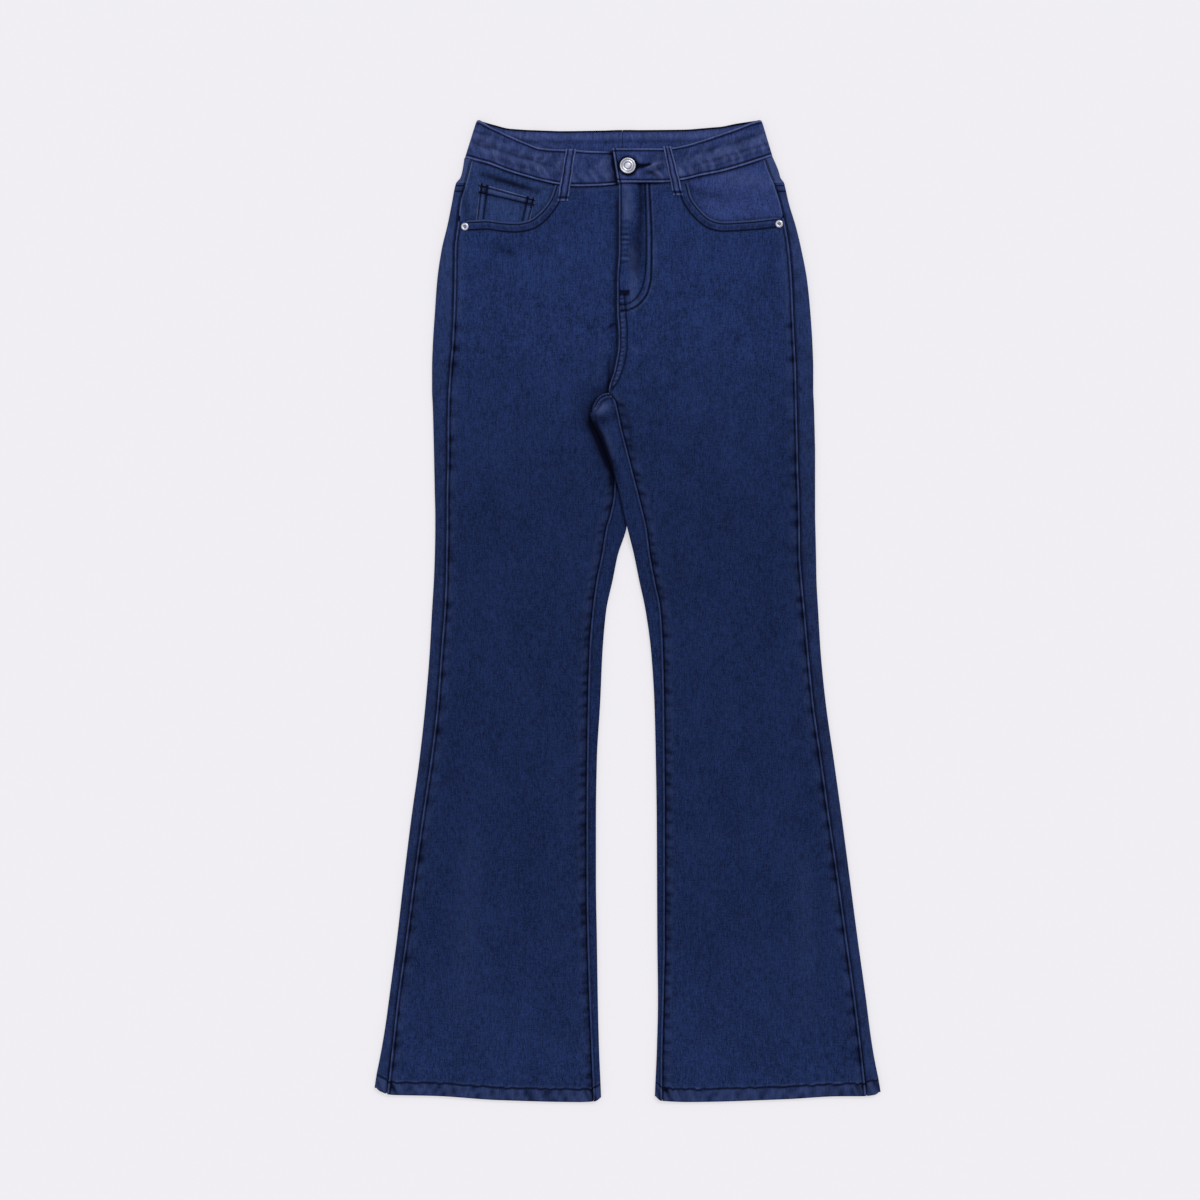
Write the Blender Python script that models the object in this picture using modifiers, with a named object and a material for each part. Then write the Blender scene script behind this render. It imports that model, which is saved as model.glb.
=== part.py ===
"""Flared five-pocket jeans, buttoned and laid flat on a table with the front up.

Lengths are in millimetres until a mesh is made. +Y points at the waist, +X at the wearer's left and +Z up.
Each leg is a flattened tube: the back panel lies on the table, folds up round both sides and meets the
front panel at the outseam and the inseam, which both show on top. The wearer's left thigh lies over the
right one below the crotch. Left and right are the wearer's.
"""

import math

import bmesh
import bpy
import numpy as np

MM = 0.001

# Cloth and the gaps between its layers.
WALL = 1.0
BAND_WALL = 2.0
HEM_WALL = 1.9
SEAM_GAP = 0.3
LAYER_GAP = 0.35
STEP_OVER = WALL + SEAM_GAP

# Heights of the top layer over the table.
HIP_LIFT = 2.6
HEM_LIFT = 1.2
HEM_FOLD_LIFT = 0.6
FOLD_PUFF = {"leg": 2.0, "hip": 1.3, "hem": 1.3, "pressed": 1.0, "flap": 1.6}
PUFF_REACH = 22.0
FOLD_FLAT_FROM = 2.2
BAND_TOP = 5.6
BAND_SIDE_PUFF = 0.8
BAND_SIDE_SLOPE = 0.3
CLEAR_BELOW, CLEAR_ABOVE = -2.0, 14.0

# Heights up the garment, from hem to waist.
WAIST_Y = 492.0
YOKE_SIDE_Y = 457.0
YOKE_DROP = 26.0
SEAM_EASE = 0.3
CROTCH_Y = 237.0
FORK_Y = 214.0
HEM_Y = -530.0
HEM_HEIGHT = 13.0
HEM_STITCH_Y = HEM_Y + HEM_HEIGHT
CENTRE_BACK_X = -6.0

# Where one shape fades into the next, as (none, full) distances or heights.
HIP_FADE = (225.0, 400.0)
HEM_LIFT_FADE = (80.0, HEM_HEIGHT + 4.0)
HEM_PUFF_FADE = (-450.0, HEM_STITCH_Y)
HEM_LINE_FADE = (-430.0, HEM_STITCH_Y)
WAIST_LINE_FADE = (370.0, WAIST_Y)
YOKE_LINE_FADE = (404.0, YOKE_SIDE_Y)
SEAT_FADE = (238.0, 262.0)
STRIP_FADE = (160.0, FORK_Y)

# The left thigh over the right one: how far past the right thigh's fold it lies, and from where to where.
CROSSED_ACROSS = (32.0, 4.0)
CROSSED_ABOVE = (270.0, 240.0)
CROSSED_BELOW = (48.0, 90.0)
THIGH_PUFF_FADE = (30.0, 90.0)
THIGH_PUFF_TOP_Y = CROTCH_Y + 8.0
CROSSING_SLACK = 1.5
STRIP_RISE = {"right": 0.0, "left": 21.0}

OUTWARD = {"right": -1.0, "left": 1.0}

# One row for each section across a leg. Above the fork the inseam column is the centre front edge and
# the inner column is the centre back seam. Below it, inner is the fold of the inner thigh.
LEG_COLUMNS = ("y", "outer", "outseam", "inseam", "inner")
LEG_ROWS = {
    "right": (
        (492.0, -176.0, -167.0, -10.5, -6.0),
        (474.0, -180.0, -171.5, -10.5, -6.0),
        (457.0, -186.5, -176.0, -10.0, -6.0),
        (440.0, -190.0, -181.0, -10.0, -6.0),
        (415.0, -195.0, -184.0, -10.0, -7.0),
        (390.0, -201.0, -187.0, -10.0, -7.0),
        (355.0, -206.0, -187.5, -10.5, -7.0),
        (320.0, -208.5, -188.5, -10.0, -8.0),
        (290.0, -210.5, -190.0, -9.5, -9.0),
        (260.0, -211.5, -192.5, -14.0, -13.0),
        (237.0, -211.5, -194.0, -21.5, -20.0),
        (226.0, -211.0, -194.5, -25.5, -22.0),
        (214.0, -210.5, -194.8, -28.0, -20.0),
        (195.0, -210.0, -195.0, -25.0, -15.0),
        (174.0, -209.5, -195.0, -21.0, -9.0),
        (150.0, -209.0, -195.3, -14.5, -2.5),
        (125.0, -208.5, -196.0, -15.5, 1.0),
        (103.0, -208.0, -196.0, -19.5, 0.0),
        (90.0, -208.0, -196.0, -23.5, -1.5),
        (60.0, -208.5, -196.5, -28.5, -11.0),
        (33.0, -209.5, -197.0, -34.0, -16.5),
        (0.0, -211.5, -198.5, -38.5, -23.5),
        (-45.0, -214.0, -202.0, -42.0, -27.5),
        (-100.0, -218.5, -206.0, -43.5, -30.0),
        (-160.0, -225.0, -213.0, -44.5, -33.5),
        (-225.0, -234.0, -222.5, -45.0, -34.5),
        (-290.0, -242.0, -231.5, -45.0, -34.5),
        (-355.0, -249.5, -240.0, -44.0, -33.5),
        (-420.0, -258.0, -249.0, -42.0, -32.5),
        (-480.0, -266.0, -255.5, -39.5, -31.0),
        (-517.0, -271.5, -259.5, -38.0, -29.5),
    ),
    "left": (
        (492.0, 155.0, 145.5, -10.5, -6.0),
        (474.0, 160.5, 152.0, -10.5, -6.0),
        (457.0, 168.5, 158.5, -10.0, -6.0),
        (440.0, 173.5, 164.0, -10.0, -6.0),
        (415.0, 181.0, 170.0, -10.0, -7.0),
        (390.0, 187.0, 174.0, -10.0, -7.0),
        (355.0, 193.5, 177.0, -10.5, -7.0),
        (320.0, 197.0, 178.5, -10.0, -8.0),
        (290.0, 199.0, 180.0, -9.5, -9.0),
        (260.0, 200.0, 181.5, -14.0, -13.0),
        (237.0, 200.0, 182.0, -21.0, -20.0),
        (226.0, 200.5, 182.2, -13.5, -31.0),
        (214.0, 201.0, 182.5, -10.5, -41.0),
        (195.0, 201.5, 183.0, -6.5, -32.5),
        (174.0, 202.0, 183.5, -1.0, -25.0),
        (150.0, 202.0, 184.0, 5.0, -15.5),
        (125.0, 202.0, 185.0, 11.5, -9.0),
        (103.0, 202.0, 185.5, 17.0, -4.0),
        (90.0, 202.3, 185.7, 20.0, -1.0),
        (60.0, 203.0, 186.0, 24.0, 6.5),
        (33.0, 203.5, 188.0, 29.0, 12.0),
        (0.0, 205.3, 191.0, 35.5, 19.0),
        (-45.0, 208.0, 195.0, 38.0, 25.0),
        (-100.0, 213.5, 200.5, 39.2, 28.5),
        (-160.0, 222.0, 209.0, 39.7, 30.0),
        (-225.0, 231.0, 218.0, 40.0, 31.0),
        (-290.0, 239.5, 227.5, 40.0, 31.3),
        (-355.0, 248.0, 236.5, 40.0, 31.6),
        (-420.0, 257.0, 245.5, 38.7, 32.3),
        (-480.0, 264.5, 252.7, 37.3, 31.0),
        (-517.0, 270.5, 256.5, 37.0, 29.5),
    ),
}

# The hem's lower edge, from the outer fold to the inner one.
HEM_COLUMNS = ("share", "y")
HEM_ROWS = {
    "right": ((0.0, -513.0), (0.07, -521.5), (0.27, -523.5), (0.55, -528.0), (0.9, -530.0), (1.0, -525.0)),
    "left": ((0.0, -519.5), (0.07, -523.5), (0.18, -523.5), (0.42, -527.0), (0.85, -530.0), (1.0, -523.5)),
}

# Stations along the waistband, from the centre front to the side and on to the centre back.
BAND_COLUMNS = ("top_x", "top_y", "bottom_x", "bottom_y")
BAND_FRONT = {
    "right": (
        (24.0, 495.5, 24.0, 466.0),
        (-8.0, 495.5, -8.5, 465.0),
        (-14.0, 495.5, -12.5, 462.0),
        (-41.0, 496.0, -35.0, 461.0),
        (-60.0, 497.5, -57.0, 459.5),
        (-80.0, 498.0, -73.0, 461.0),
        (-95.0, 499.5, -88.0, 464.5),
        (-112.0, 505.5, -107.0, 470.0),
        (-130.0, 513.5, -126.0, 476.0),
        (-149.0, 522.5, -150.0, 485.0),
    ),
    "left": (
        (-14.0, 498.5, -11.5, 464.0),
        (10.0, 498.5, 14.0, 464.0),
        (27.0, 498.5, 28.0, 464.0),
        (41.0, 499.0, 41.0, 464.0),
        (58.0, 501.5, 59.0, 465.5),
        (78.0, 507.0, 78.0, 470.0),
        (97.0, 513.5, 100.0, 475.5),
        (117.0, 520.5, 124.0, 483.0),
        (131.0, 526.0, 140.0, 488.5),
    ),
}
BAND_SIDE = {"right": (-163.0, 530.0, -176.0, 491.0), "left": (144.0, 530.0, 155.5, 493.5)}
BAND_BACK = {
    "right": (
        (-144.0, 524.5, -150.0, 488.0),
        (-127.0, 520.5, -127.0, 486.0),
        (-73.0, 518.0, -73.0, 484.5),
        (-6.2, 519.0, -6.2, 484.0),
    ),
    "left": (
        (117.0, 526.0, 126.0, 489.0),
        (99.0, 522.5, 101.0, 486.5),
        (56.0, 519.5, 56.0, 484.5),
        (-5.8, 519.0, -5.8, 484.0),
    ),
}
UNDERLAP_END = 24.0
BAND_LAP = BAND_WALL + SEAM_GAP
BAND_LAP_FADE = (UNDERLAP_END + 20.0, UNDERLAP_END + 2.0)

# Points (x, y) on the pocket openings' edges, from the waistband to the outseam.
OPENING_EDGE = {
    "right": ((-78.0, 459.0), (-82.5, 446.0), (-94.0, 430.0), (-107.0, 420.5), (-121.0, 418.0),
              (-137.0, 419.0), (-153.0, 421.0), (-173.0, 420.0)),
    "left": ((64.0, 461.0), (67.5, 447.0), (77.0, 433.0), (90.0, 422.0), (102.0, 419.0),
             (117.0, 419.5), (132.0, 420.5), (161.0, 423.5)),
}
OPENING_PAST_SIDE = 40.0
OPENING_TOP_Y = 520.0
FACING_DEPTH_Y = 396.0
FACING_PAST_EDGE = 12.0
FACING_LEVEL_ACROSS = (12.0, 1.0)
FACING_LEVEL_FADE = (428.0, 440.0)
FACING_TUCK_Y, FACING_TUCK = 426.0, 2.0

# Coin pocket corners: upper outer, upper inner, lower inner, lower outer.
COIN_CORNERS = ((-160.0, 462.0), (-100.0, 446.5), (-110.0, 406.0), (-168.0, 406.0))
COIN_WALL = 0.8
COIN_BULGE_X = (-170.0, -99.0)
COIN_BULGE_Y = (400.0, 440.0)
COIN_BULGE_EDGE = 9.0

# Fly: the left front laps the right one, with the zip under the lap.
FLY_WIDTH = 27.0
SEAM_LAP_WIDTH = 14.0
FLY_BOTTOM_Y = 325.0
FLY_CURVE = 20.0
FLY_STEP_EDGE = 8.0
FLY_STEP_FADE = (222.0, 245.0)
UNDERLAP_WIDTH = 6.0
UNDERLAP_BOTTOM_Y = 282.0
ZIP_TOP_Y = 456.0
ZIP_WIDTH = 18.0
ZIP_SIDE = 2.0
ZIP_WALL = 1.2

BUTTON_X, BUTTON_Y = -2.0, 482.0
BUTTON_DIAMETER = 17.2
SHANK_DIAMETER = 2.8
BUTTONHOLE_LENGTH, BUTTONHOLE_WIDTH = 14.0, 3.4
BUTTONHOLE_FROM, BUTTONHOLE_TO = 4.5, 12.0
RIVETS = {"right": (-177.0, 415.5), "left": (163.0, 417.5)}
RIVET_DIAMETER = 8.4

# Belt loops on the front: upper end, lower end, width.
LOOP_COLUMNS = ("top_x", "top_y", "bottom_x", "bottom_y", "width")
FRONT_LOOPS = {"right": (-61.5, 499.5, -70.0, 444.0, 12.0), "left": (42.0, 503.0, 53.5, 450.0, 11.0)}
LOOP_WALL = 1.1
LOOP_DIP = (-5.0, 1.0)
BACK_LOOP_X = {"back": CENTRE_BACK_X, "side_right": -92.0, "side_left": 84.0}
BACK_LOOP_TOP_Y, BACK_LOOP_BOTTOM_Y, BACK_LOOP_WIDTH = 518.0, 474.0, 12.0

# Back pockets, under the garment.
BACK_POCKET_WALL = 0.9
BACK_POCKET_TOP_Y = 402.0
BACK_POCKET_SIDE = 108.0
BACK_POCKET_POINT = 128.0
BACK_POCKET_WIDTH = {"top": 124.0, "bottom": 104.0}
BACK_POCKET_X = {"right": -98.0, "left": 88.0}
RECESS_EDGE = 12.0

COLOURS = {
    "denim": (0.012, 0.022, 0.075),
    "band": (0.022, 0.036, 0.105),
    "facing": (0.016, 0.028, 0.088),
    "nickel": (0.62, 0.62, 0.63),
    "zip": (0.02, 0.025, 0.05),
}


def smooth(low, high, value):
    """0 at low, 1 at high, with soft ends. Low may be above high."""
    share = min(1.0, max(0.0, (value - low) / (high - low)))
    return share * share * (3.0 - 2.0 * share)


def window(low, high, edge, value):
    """1 between low and high, falling to 0 over the edge outside them."""
    return smooth(low - edge, low, value) * smooth(high + edge, high, value)


def curve_through(knots):
    """A function on a smooth curve through (place, value) knots, which never swings past a knot."""
    knots = sorted(knots)
    at = np.array([k[0] for k in knots])
    value = np.array([k[1] for k in knots])
    slope = np.diff(value) / np.diff(at)
    tangent = np.concatenate([[slope[0]], np.zeros(len(slope) - 1), [slope[-1]]])
    for i in range(1, len(slope)):
        if slope[i - 1] * slope[i] > 0:
            tangent[i] = 2.0 * slope[i - 1] * slope[i] / (slope[i - 1] + slope[i])

    def read(place):
        if place <= at[0]:
            return float(value[0] + tangent[0] * (place - at[0]))
        if place >= at[-1]:
            return float(value[-1] + tangent[-1] * (place - at[-1]))
        i = int(np.searchsorted(at, place) - 1)
        width = at[i + 1] - at[i]
        t = (place - at[i]) / width
        start = value[i] * (1 + 2 * t) * (1 - t) ** 2 + tangent[i] * width * t * (1 - t) ** 2
        end = value[i + 1] * t * t * (3 - 2 * t) + tangent[i + 1] * width * t * t * (t - 1)
        return float(start + end)

    return read


def column_of(rows, columns, key, column):
    """One column of a table as a smooth function of another."""
    at, value = columns.index(key), columns.index(column)
    return curve_through([(row[at], row[value]) for row in rows])


EDGE = {
    side: {name: column_of(rows, LEG_COLUMNS, "y", name) for name in LEG_COLUMNS[1:]}
    for side, rows in LEG_ROWS.items()
}
HEM_EDGE = {side: column_of(rows, HEM_COLUMNS, "share", "y") for side, rows in HEM_ROWS.items()}
FRONT_WAIST = {
    side: column_of(rows + (BAND_SIDE[side],), BAND_COLUMNS, "bottom_x", "bottom_y")
    for side, rows in BAND_FRONT.items()
}
BACK_WAIST = {
    side: column_of((BAND_SIDE[side],) + rows, BAND_COLUMNS, "bottom_x", "bottom_y")
    for side, rows in BAND_BACK.items()
}


def hem_line(side, x):
    """The height of the hem's lower edge at x."""
    outer = EDGE[side]["outer"](HEM_STITCH_Y)
    inner = EDGE[side]["inner"](HEM_STITCH_Y)
    return HEM_EDGE[side](min(1.0, max(0.0, (x - outer) / (inner - outer))))


def hip(y):
    """1 at the hips, where the pockets and facings lie between front and back, and 0 on the legs."""
    return smooth(*HIP_FADE, y)


def recess(x, y):
    """How far the back lies over the table, above its own pockets and belt loops."""
    lift = 0.0
    for centre in BACK_POCKET_X.values():
        half = BACK_POCKET_WIDTH["top"] / 2
        across = window(centre - half, centre + half, RECESS_EDGE, x)
        low = BACK_POCKET_TOP_Y - BACK_POCKET_POINT
        along = window(low, BACK_POCKET_TOP_Y, RECESS_EDGE, y)
        lift = max(lift, (BACK_POCKET_WALL + SEAM_GAP) * across * along)
    for centre in BACK_LOOP_X.values():
        half = BACK_LOOP_WIDTH / 2
        across = window(centre - half, centre + half, RECESS_EDGE, x)
        along = smooth(BACK_LOOP_BOTTOM_Y - 2 * RECESS_EDGE, BACK_LOOP_BOTTOM_Y, y)
        lift = max(lift, (LOOP_WALL + SEAM_GAP) * across * along)
    return lift


def crossed(x, y):
    """1 where the left thigh lies on the right one, falling to 0 beside it and above and below it."""
    past = x - EDGE["right"]["inner"](y)
    return smooth(*CROSSED_ACROSS, past) * smooth(*CROSSED_ABOVE, y) * smooth(*CROSSED_BELOW, y)


def crossing(x, y):
    """The height of the left thigh's underside where it lies over the right one."""
    over = crossed(x, y)
    fold = EDGE["right"]["inner"](y)
    return over * (top("right", min(x, fold), y) + 2 * LAYER_GAP) if over > 0 else 0.0


def floor(side, x, y):
    """The height of the lower layer's underside."""
    return recess(x, y) + (crossing(x, y) if side == "left" else 0.0)


def puff(side, x, y):
    """How far the cloth near the side folds stands over the middle of the leg."""
    hem = smooth(*HEM_PUFF_FADE, y)
    outer = FOLD_PUFF["leg"] * (1 - hip(y)) * (1 - hem) + FOLD_PUFF["hip"] * hip(y) + FOLD_PUFF["hem"] * hem
    near = abs(x - EDGE[side]["outer"](y)) / PUFF_REACH
    lift = outer * math.exp(-near * near)
    if y < THIGH_PUFF_TOP_Y:
        share = smooth(*THIGH_PUFF_FADE, y)
        thigh = FOLD_PUFF["flap" if side == "left" else "pressed"]
        inner = thigh * share + (1 - share) * (FOLD_PUFF["leg"] * (1 - hem) + FOLD_PUFF["hem"] * hem)
        near = abs(x - EDGE[side]["inner"](y)) / PUFF_REACH
        lift += inner * smooth(THIGH_PUFF_TOP_Y, FORK_Y, y) * math.exp(-near * near)
    return lift


def top(side, x, y):
    """The height of the top layer's outer face."""
    base = 2 * WALL + LAYER_GAP + recess(x, y) * (1 - hip(y)) + HIP_LIFT * hip(y)
    up = y - hem_line(side, x)
    hem = HEM_LIFT * smooth(*HEM_LIFT_FADE, up) + (HEM_FOLD_LIFT if up < HEM_HEIGHT + 0.5 else 0.0)
    over = 0.0
    if side == "left":
        share = crossed(x, y)
        over = crossing(x, y) + 4 * CROSSING_SLACK * share * (1 - share)
    return base + hem + puff(side, x, y) + over


def front_top(side, x, y):
    """The outer face of a front panel: over the coin pocket, and over the right front at the fly."""
    z = top(side, x, y)
    if side == "right":
        over_coin = window(*COIN_BULGE_X, COIN_BULGE_EDGE, x) * window(*COIN_BULGE_Y, COIN_BULGE_EDGE, y)
        return z + (COIN_WALL + 2 * SEAM_GAP) * over_coin
    lap = SEAM_LAP_WIDTH + (FLY_WIDTH - SEAM_LAP_WIDTH) * smooth(FLY_BOTTOM_Y, FLY_BOTTOM_Y + FLY_CURVE, y)
    past = x - EDGE["left"]["inseam"](max(y, CROTCH_Y)) - lap
    return z + STEP_OVER * smooth(FLY_STEP_EDGE, 0.0, past) * smooth(*FLY_STEP_FADE, y)


def facing_top(side, x, y):
    """The outer face of a pocket facing: under the front, and level with it at the outseam."""
    inward = abs(x - EDGE[side]["outseam"](y))
    level = smooth(*FACING_LEVEL_ACROSS, inward) * smooth(*FACING_LEVEL_FADE, y)
    return top(side, x, y) - STEP_OVER * (1 - level)


def band_top(side, x):
    """The outer face of the front waistband, whose left end laps the right one."""
    near = abs(x - EDGE[side]["outer"](WAIST_Y)) / PUFF_REACH
    lap = BAND_LAP * smooth(*BAND_LAP_FADE, x) if side == "left" else 0.0
    return BAND_TOP + BAND_SIDE_PUFF * math.exp(-near * near) + lap


def half_turn(x_edge, low, high, outward, rising):
    """Points (x, z) round a fold whose outermost point is x_edge, between two heights."""
    radius = (high - low) / 2
    middle = (high + low) / 2
    angles = (90, 45, 0, -45, -90)
    if rising:
        angles = angles[::-1]
    points = []
    for angle in angles:
        inward = radius * (1 - math.cos(math.radians(angle)))
        points.append((x_edge - outward * inward, middle + radius * math.sin(math.radians(angle))))
    return points


def fold_at(side, edge, outward, y, rising):
    """Points (x, z) round one of a leg's two folds at the height y."""
    x_edge = EDGE[side][edge](y)
    inside = x_edge - outward * FOLD_FLAT_FROM
    return half_turn(x_edge, floor(side, inside, y), top(side, inside, y), outward, rising)


# Places across a back panel: 0 outseam, 2 to 6 the outer fold, 14 to 18 the inner fold, 20 the inseam.
OUTER_FOLD, INNER_FOLD, LAST_PLACE = 2, 14, 20
FLAT_SHARES = (0.12, 0.3, 0.48, 0.66)
INNER_OFFSETS = (34.0, 20.0, 4.0)


def leg_columns(side, y):
    """Where the flat places lie down the leg: the last ones beside the thigh that is crossed over."""
    out = OUTWARD[side]
    start, end = EDGE[side]["outer"](y) - out * 3.0, EDGE[side]["inner"](y) + out * 5.0
    if side == "left":
        end = max(end, EDGE["right"]["inner"](y))
    spread = [start + (end - start) * share for share in FLAT_SHARES]
    return spread + [end + out * offset for offset in INNER_OFFSETS]


def seat_columns(side):
    """Where the flat places lie at the seat: at the edges of the back pocket and round it."""
    out, half = OUTWARD[side], BACK_POCKET_WIDTH["top"] / 2
    offsets = (half + RECESS_EDGE, half, half / 2, 0.0, -half / 2, -half, -half - RECESS_EDGE)
    return [BACK_POCKET_X[side] + out * offset for offset in offsets]


def yoke_columns(side):
    """Where the flat places lie on the yoke: at the edges of the belt loops and round them."""
    out, half = OUTWARD[side], BACK_LOOP_WIDTH / 2
    loop, centre = BACK_LOOP_X["side_" + side], BACK_LOOP_X["back"]
    beside = [loop + out * offset for offset in (half + RECESS_EDGE, half, -half, -half - RECESS_EDGE)]
    hip_x = (beside[0] + EDGE[side]["outer"](WAIST_Y)) / 2
    return [hip_x, *beside, centre + out * (half + RECESS_EDGE), centre + out * half]


def back_point(side, place, y, columns=None):
    """The outer face of a back panel or yoke at one place across it and one height."""
    out = OUTWARD[side]
    if place < OUTER_FOLD + 5:
        turn = fold_at(side, "outer", out, y, rising=False)
        if place >= OUTER_FOLD:
            x, z = turn[place - OUTER_FOLD]
            return x, y, z
        seam = EDGE[side]["outseam"](y) + out * SEAM_GAP / 2
        x = seam + (turn[0][0] - seam) * place / OUTER_FOLD
        return x, y, top(side, x, y)
    inner_turn = fold_at(side, "inner", -out, y, rising=True)
    if y > FORK_Y + 1.0:
        inner_turn[0] = (EDGE[side]["inner"](y) + out * SEAM_GAP / 2, 0.0)
    if place <= INNER_FOLD:
        x = inner_turn[0][0]
        if place < INNER_FOLD:
            flat = place - OUTER_FOLD - 5
            x = leg_columns(side, y)[flat]
            x += ((columns or seat_columns(side))[flat] - x) * smooth(*SEAT_FADE, y)
        return x, y, floor(side, x, y)
    if place < INNER_FOLD + 5:
        x, z = inner_turn[place - INNER_FOLD]
        return x, y, z
    share = (place - INNER_FOLD - 4) / (LAST_PLACE - INNER_FOLD - 4)
    seam_y = y + STRIP_RISE[side] * smooth(*STRIP_FADE, y)
    seam = EDGE[side]["inseam"](seam_y) - out * SEAM_GAP / 2
    x = inner_turn[-1][0] + (seam - inner_turn[-1][0]) * share
    y += (seam_y - y) * share
    return x, y, top(side, x, y)


def new_object(name, mesh, colour, collection):
    """A piece with a material of its own, shaded smooth."""
    material = bpy.data.materials.new(name)
    material.use_nodes = True
    shader = material.node_tree.nodes["Principled BSDF"]
    shader.inputs["Base Color"].default_value = (*COLOURS[colour], 1.0)
    shader.inputs["Roughness"].default_value = 0.3 if colour == "nickel" else 0.9
    shader.inputs["Metallic"].default_value = 1.0 if colour == "nickel" else 0.0
    mesh.materials.append(material)
    mesh.shade_smooth()
    mesh.set_sharp_from_angle(angle=math.radians(40))
    obj = bpy.data.objects.new(name, mesh)
    collection.objects.link(obj)
    return obj


def cloth(name, rows, colour, collection, wall=WALL, flip=False, thick_rows=()):
    """A cloth piece: an open surface through rows of (x, y, z) points, or None, with Solidify inward."""
    made = bmesh.new()
    grid = [[made.verts.new([c * MM for c in p]) if p else None for p in row] for row in rows]
    for upper, lower in zip(grid, grid[1:]):
        for a, b, c, d in zip(upper, upper[1:], lower[1:], lower):
            if a and b and c and d:
                made.faces.new((a, d, c, b) if flip else (a, b, c, d))
    made.verts.index_update()
    thick = [v.index for i in thick_rows for v in grid[i] if v]
    mesh = bpy.data.meshes.new(name)
    made.to_mesh(mesh)
    made.free()
    obj = new_object(name, mesh, colour, collection)
    solid = obj.modifiers.new("Wall", "SOLIDIFY")
    solid.thickness = wall * MM
    solid.offset = -1.0
    solid.use_even_offset = True
    if thick:
        group = obj.vertex_groups.new(name="Hem")
        group.add(thick, 1.0, "REPLACE")
        solid.thickness = HEM_WALL * MM
        solid.vertex_group = group.name
        solid.thickness_vertex_group = wall / HEM_WALL
    return obj


def prism(name, outline, low, high, collection):
    """A hidden cutter with a flat outline, between two heights."""
    data = bpy.data.curves.new(name, "CURVE")
    data.dimensions = "2D"
    data.fill_mode = "BOTH"
    data.extrude = (high - low) / 2 * MM
    spline = data.splines.new("POLY")
    spline.points.add(len(outline) - 1)
    for point, (x, y) in zip(spline.points, outline):
        point.co = (x * MM, y * MM, 0.0, 1.0)
    spline.use_cyclic_u = True
    curve = bpy.data.objects.new(name + "_curve", data)
    bpy.context.scene.collection.objects.link(curve)
    graph = bpy.context.evaluated_depsgraph_get()
    mesh = bpy.data.meshes.new_from_object(curve.evaluated_get(graph))
    bpy.data.objects.remove(curve)
    made = bmesh.new()
    made.from_mesh(mesh)
    bmesh.ops.remove_doubles(made, verts=made.verts, dist=1e-6)
    bmesh.ops.recalc_face_normals(made, faces=made.faces)
    bmesh.ops.translate(made, verts=made.verts, vec=(0.0, 0.0, (high + low) / 2 * MM))
    made.to_mesh(mesh)
    made.free()
    cutter = bpy.data.objects.new(name, mesh)
    cutter.hide_render = True
    cutter.display_type = "WIRE"
    collection.objects.link(cutter)
    return cutter


def cut_away(obj, cutter):
    """Takes the cutter's space out of a piece."""
    cut = obj.modifiers.new("Cut", "BOOLEAN")
    cut.operation = "DIFFERENCE"
    cut.solver = "EXACT"
    cut.object = cutter


def flips(side):
    """Whether a piece's rows run so that its faces would point inward."""
    return side == "left"


POCKET_ROWS = (BACK_POCKET_TOP_Y + RECESS_EDGE, BACK_POCKET_TOP_Y, BACK_POCKET_TOP_Y - BACK_POCKET_POINT)
THIGH_ROWS = (249.0, 204.0, 184.0)
SECTIONS = {row[0] for row in LEG_ROWS["right"][:-1]} - {415.0} | set(POCKET_ROWS) | set(THIGH_ROWS)
SECTIONS = tuple(sorted(SECTIONS, reverse=True)) + (HEM_STITCH_Y + 2.0, HEM_STITCH_Y, HEM_Y)
BACK_ROWS = tuple(y for y in SECTIONS if y <= YOKE_SIDE_Y)


def at_hem(side, x, y):
    """The height y moved so that the lowest rows follow the hem."""
    return y + (hem_line(side, x) - HEM_Y) * smooth(*HEM_LINE_FADE, y)


def yoke_seam(side, x):
    """The height of the yoke's lower edge on the underside: it falls towards the centre back."""
    side_x = EDGE[side]["outer"](YOKE_SIDE_Y)
    return YOKE_SIDE_Y - YOKE_DROP * min(1.0, abs(x - side_x) / abs(CENTRE_BACK_X - side_x))


def back_panel(side, collection):
    """Half of the back below the yoke, round the outer fold to the outseam and the inner one to the inseam."""
    rows = []
    for y in BACK_ROWS:
        row = []
        for place in range(LAST_PLACE + 1):
            if place > INNER_FOLD and y > FORK_Y:
                row.append(None)
                continue
            x = back_point(side, place, y)[0]
            moved = at_hem(side, x, y)
            if place >= OUTER_FOLD + 4:
                moved += (yoke_seam(side, x) - YOKE_SIDE_Y) * smooth(*YOKE_LINE_FADE, y)
            if y == BACK_ROWS[0]:
                moved -= SEAM_GAP / 2
            row.append(back_point(side, place, moved))
        rows.append(row)
    cloth(f"back_{side}", rows, "denim", collection, flip=flips(side), thick_rows=(-1, -2))


def yoke(side, collection):
    """The piece between the back panel and the waistband, as far as the outseam on the front."""
    rows = []
    for share in (0.0, 0.33, 0.67, 1.0):
        row = []
        for place in range(INNER_FOLD + 1):
            upper, lower = WAIST_Y, YOKE_SIDE_Y
            for _ in range(3):
                x = back_point(side, place, upper, yoke_columns(side))[0]
                under = smooth(OUTER_FOLD, OUTER_FOLD + 4, place)
                upper = FRONT_WAIST[side](x) * (1 - under) + BACK_WAIST[side](x) * under - SEAM_GAP - SEAM_EASE
            if place >= OUTER_FOLD + 4:
                lower = yoke_seam(side, back_point(side, place, lower, yoke_columns(side))[0])
            lower += SEAM_GAP / 2
            row.append(back_point(side, place, upper + (lower - upper) * share, yoke_columns(side)))
        rows.append(row)
    cloth(f"yoke_{side}", rows, "denim", collection, flip=flips(side))


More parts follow.
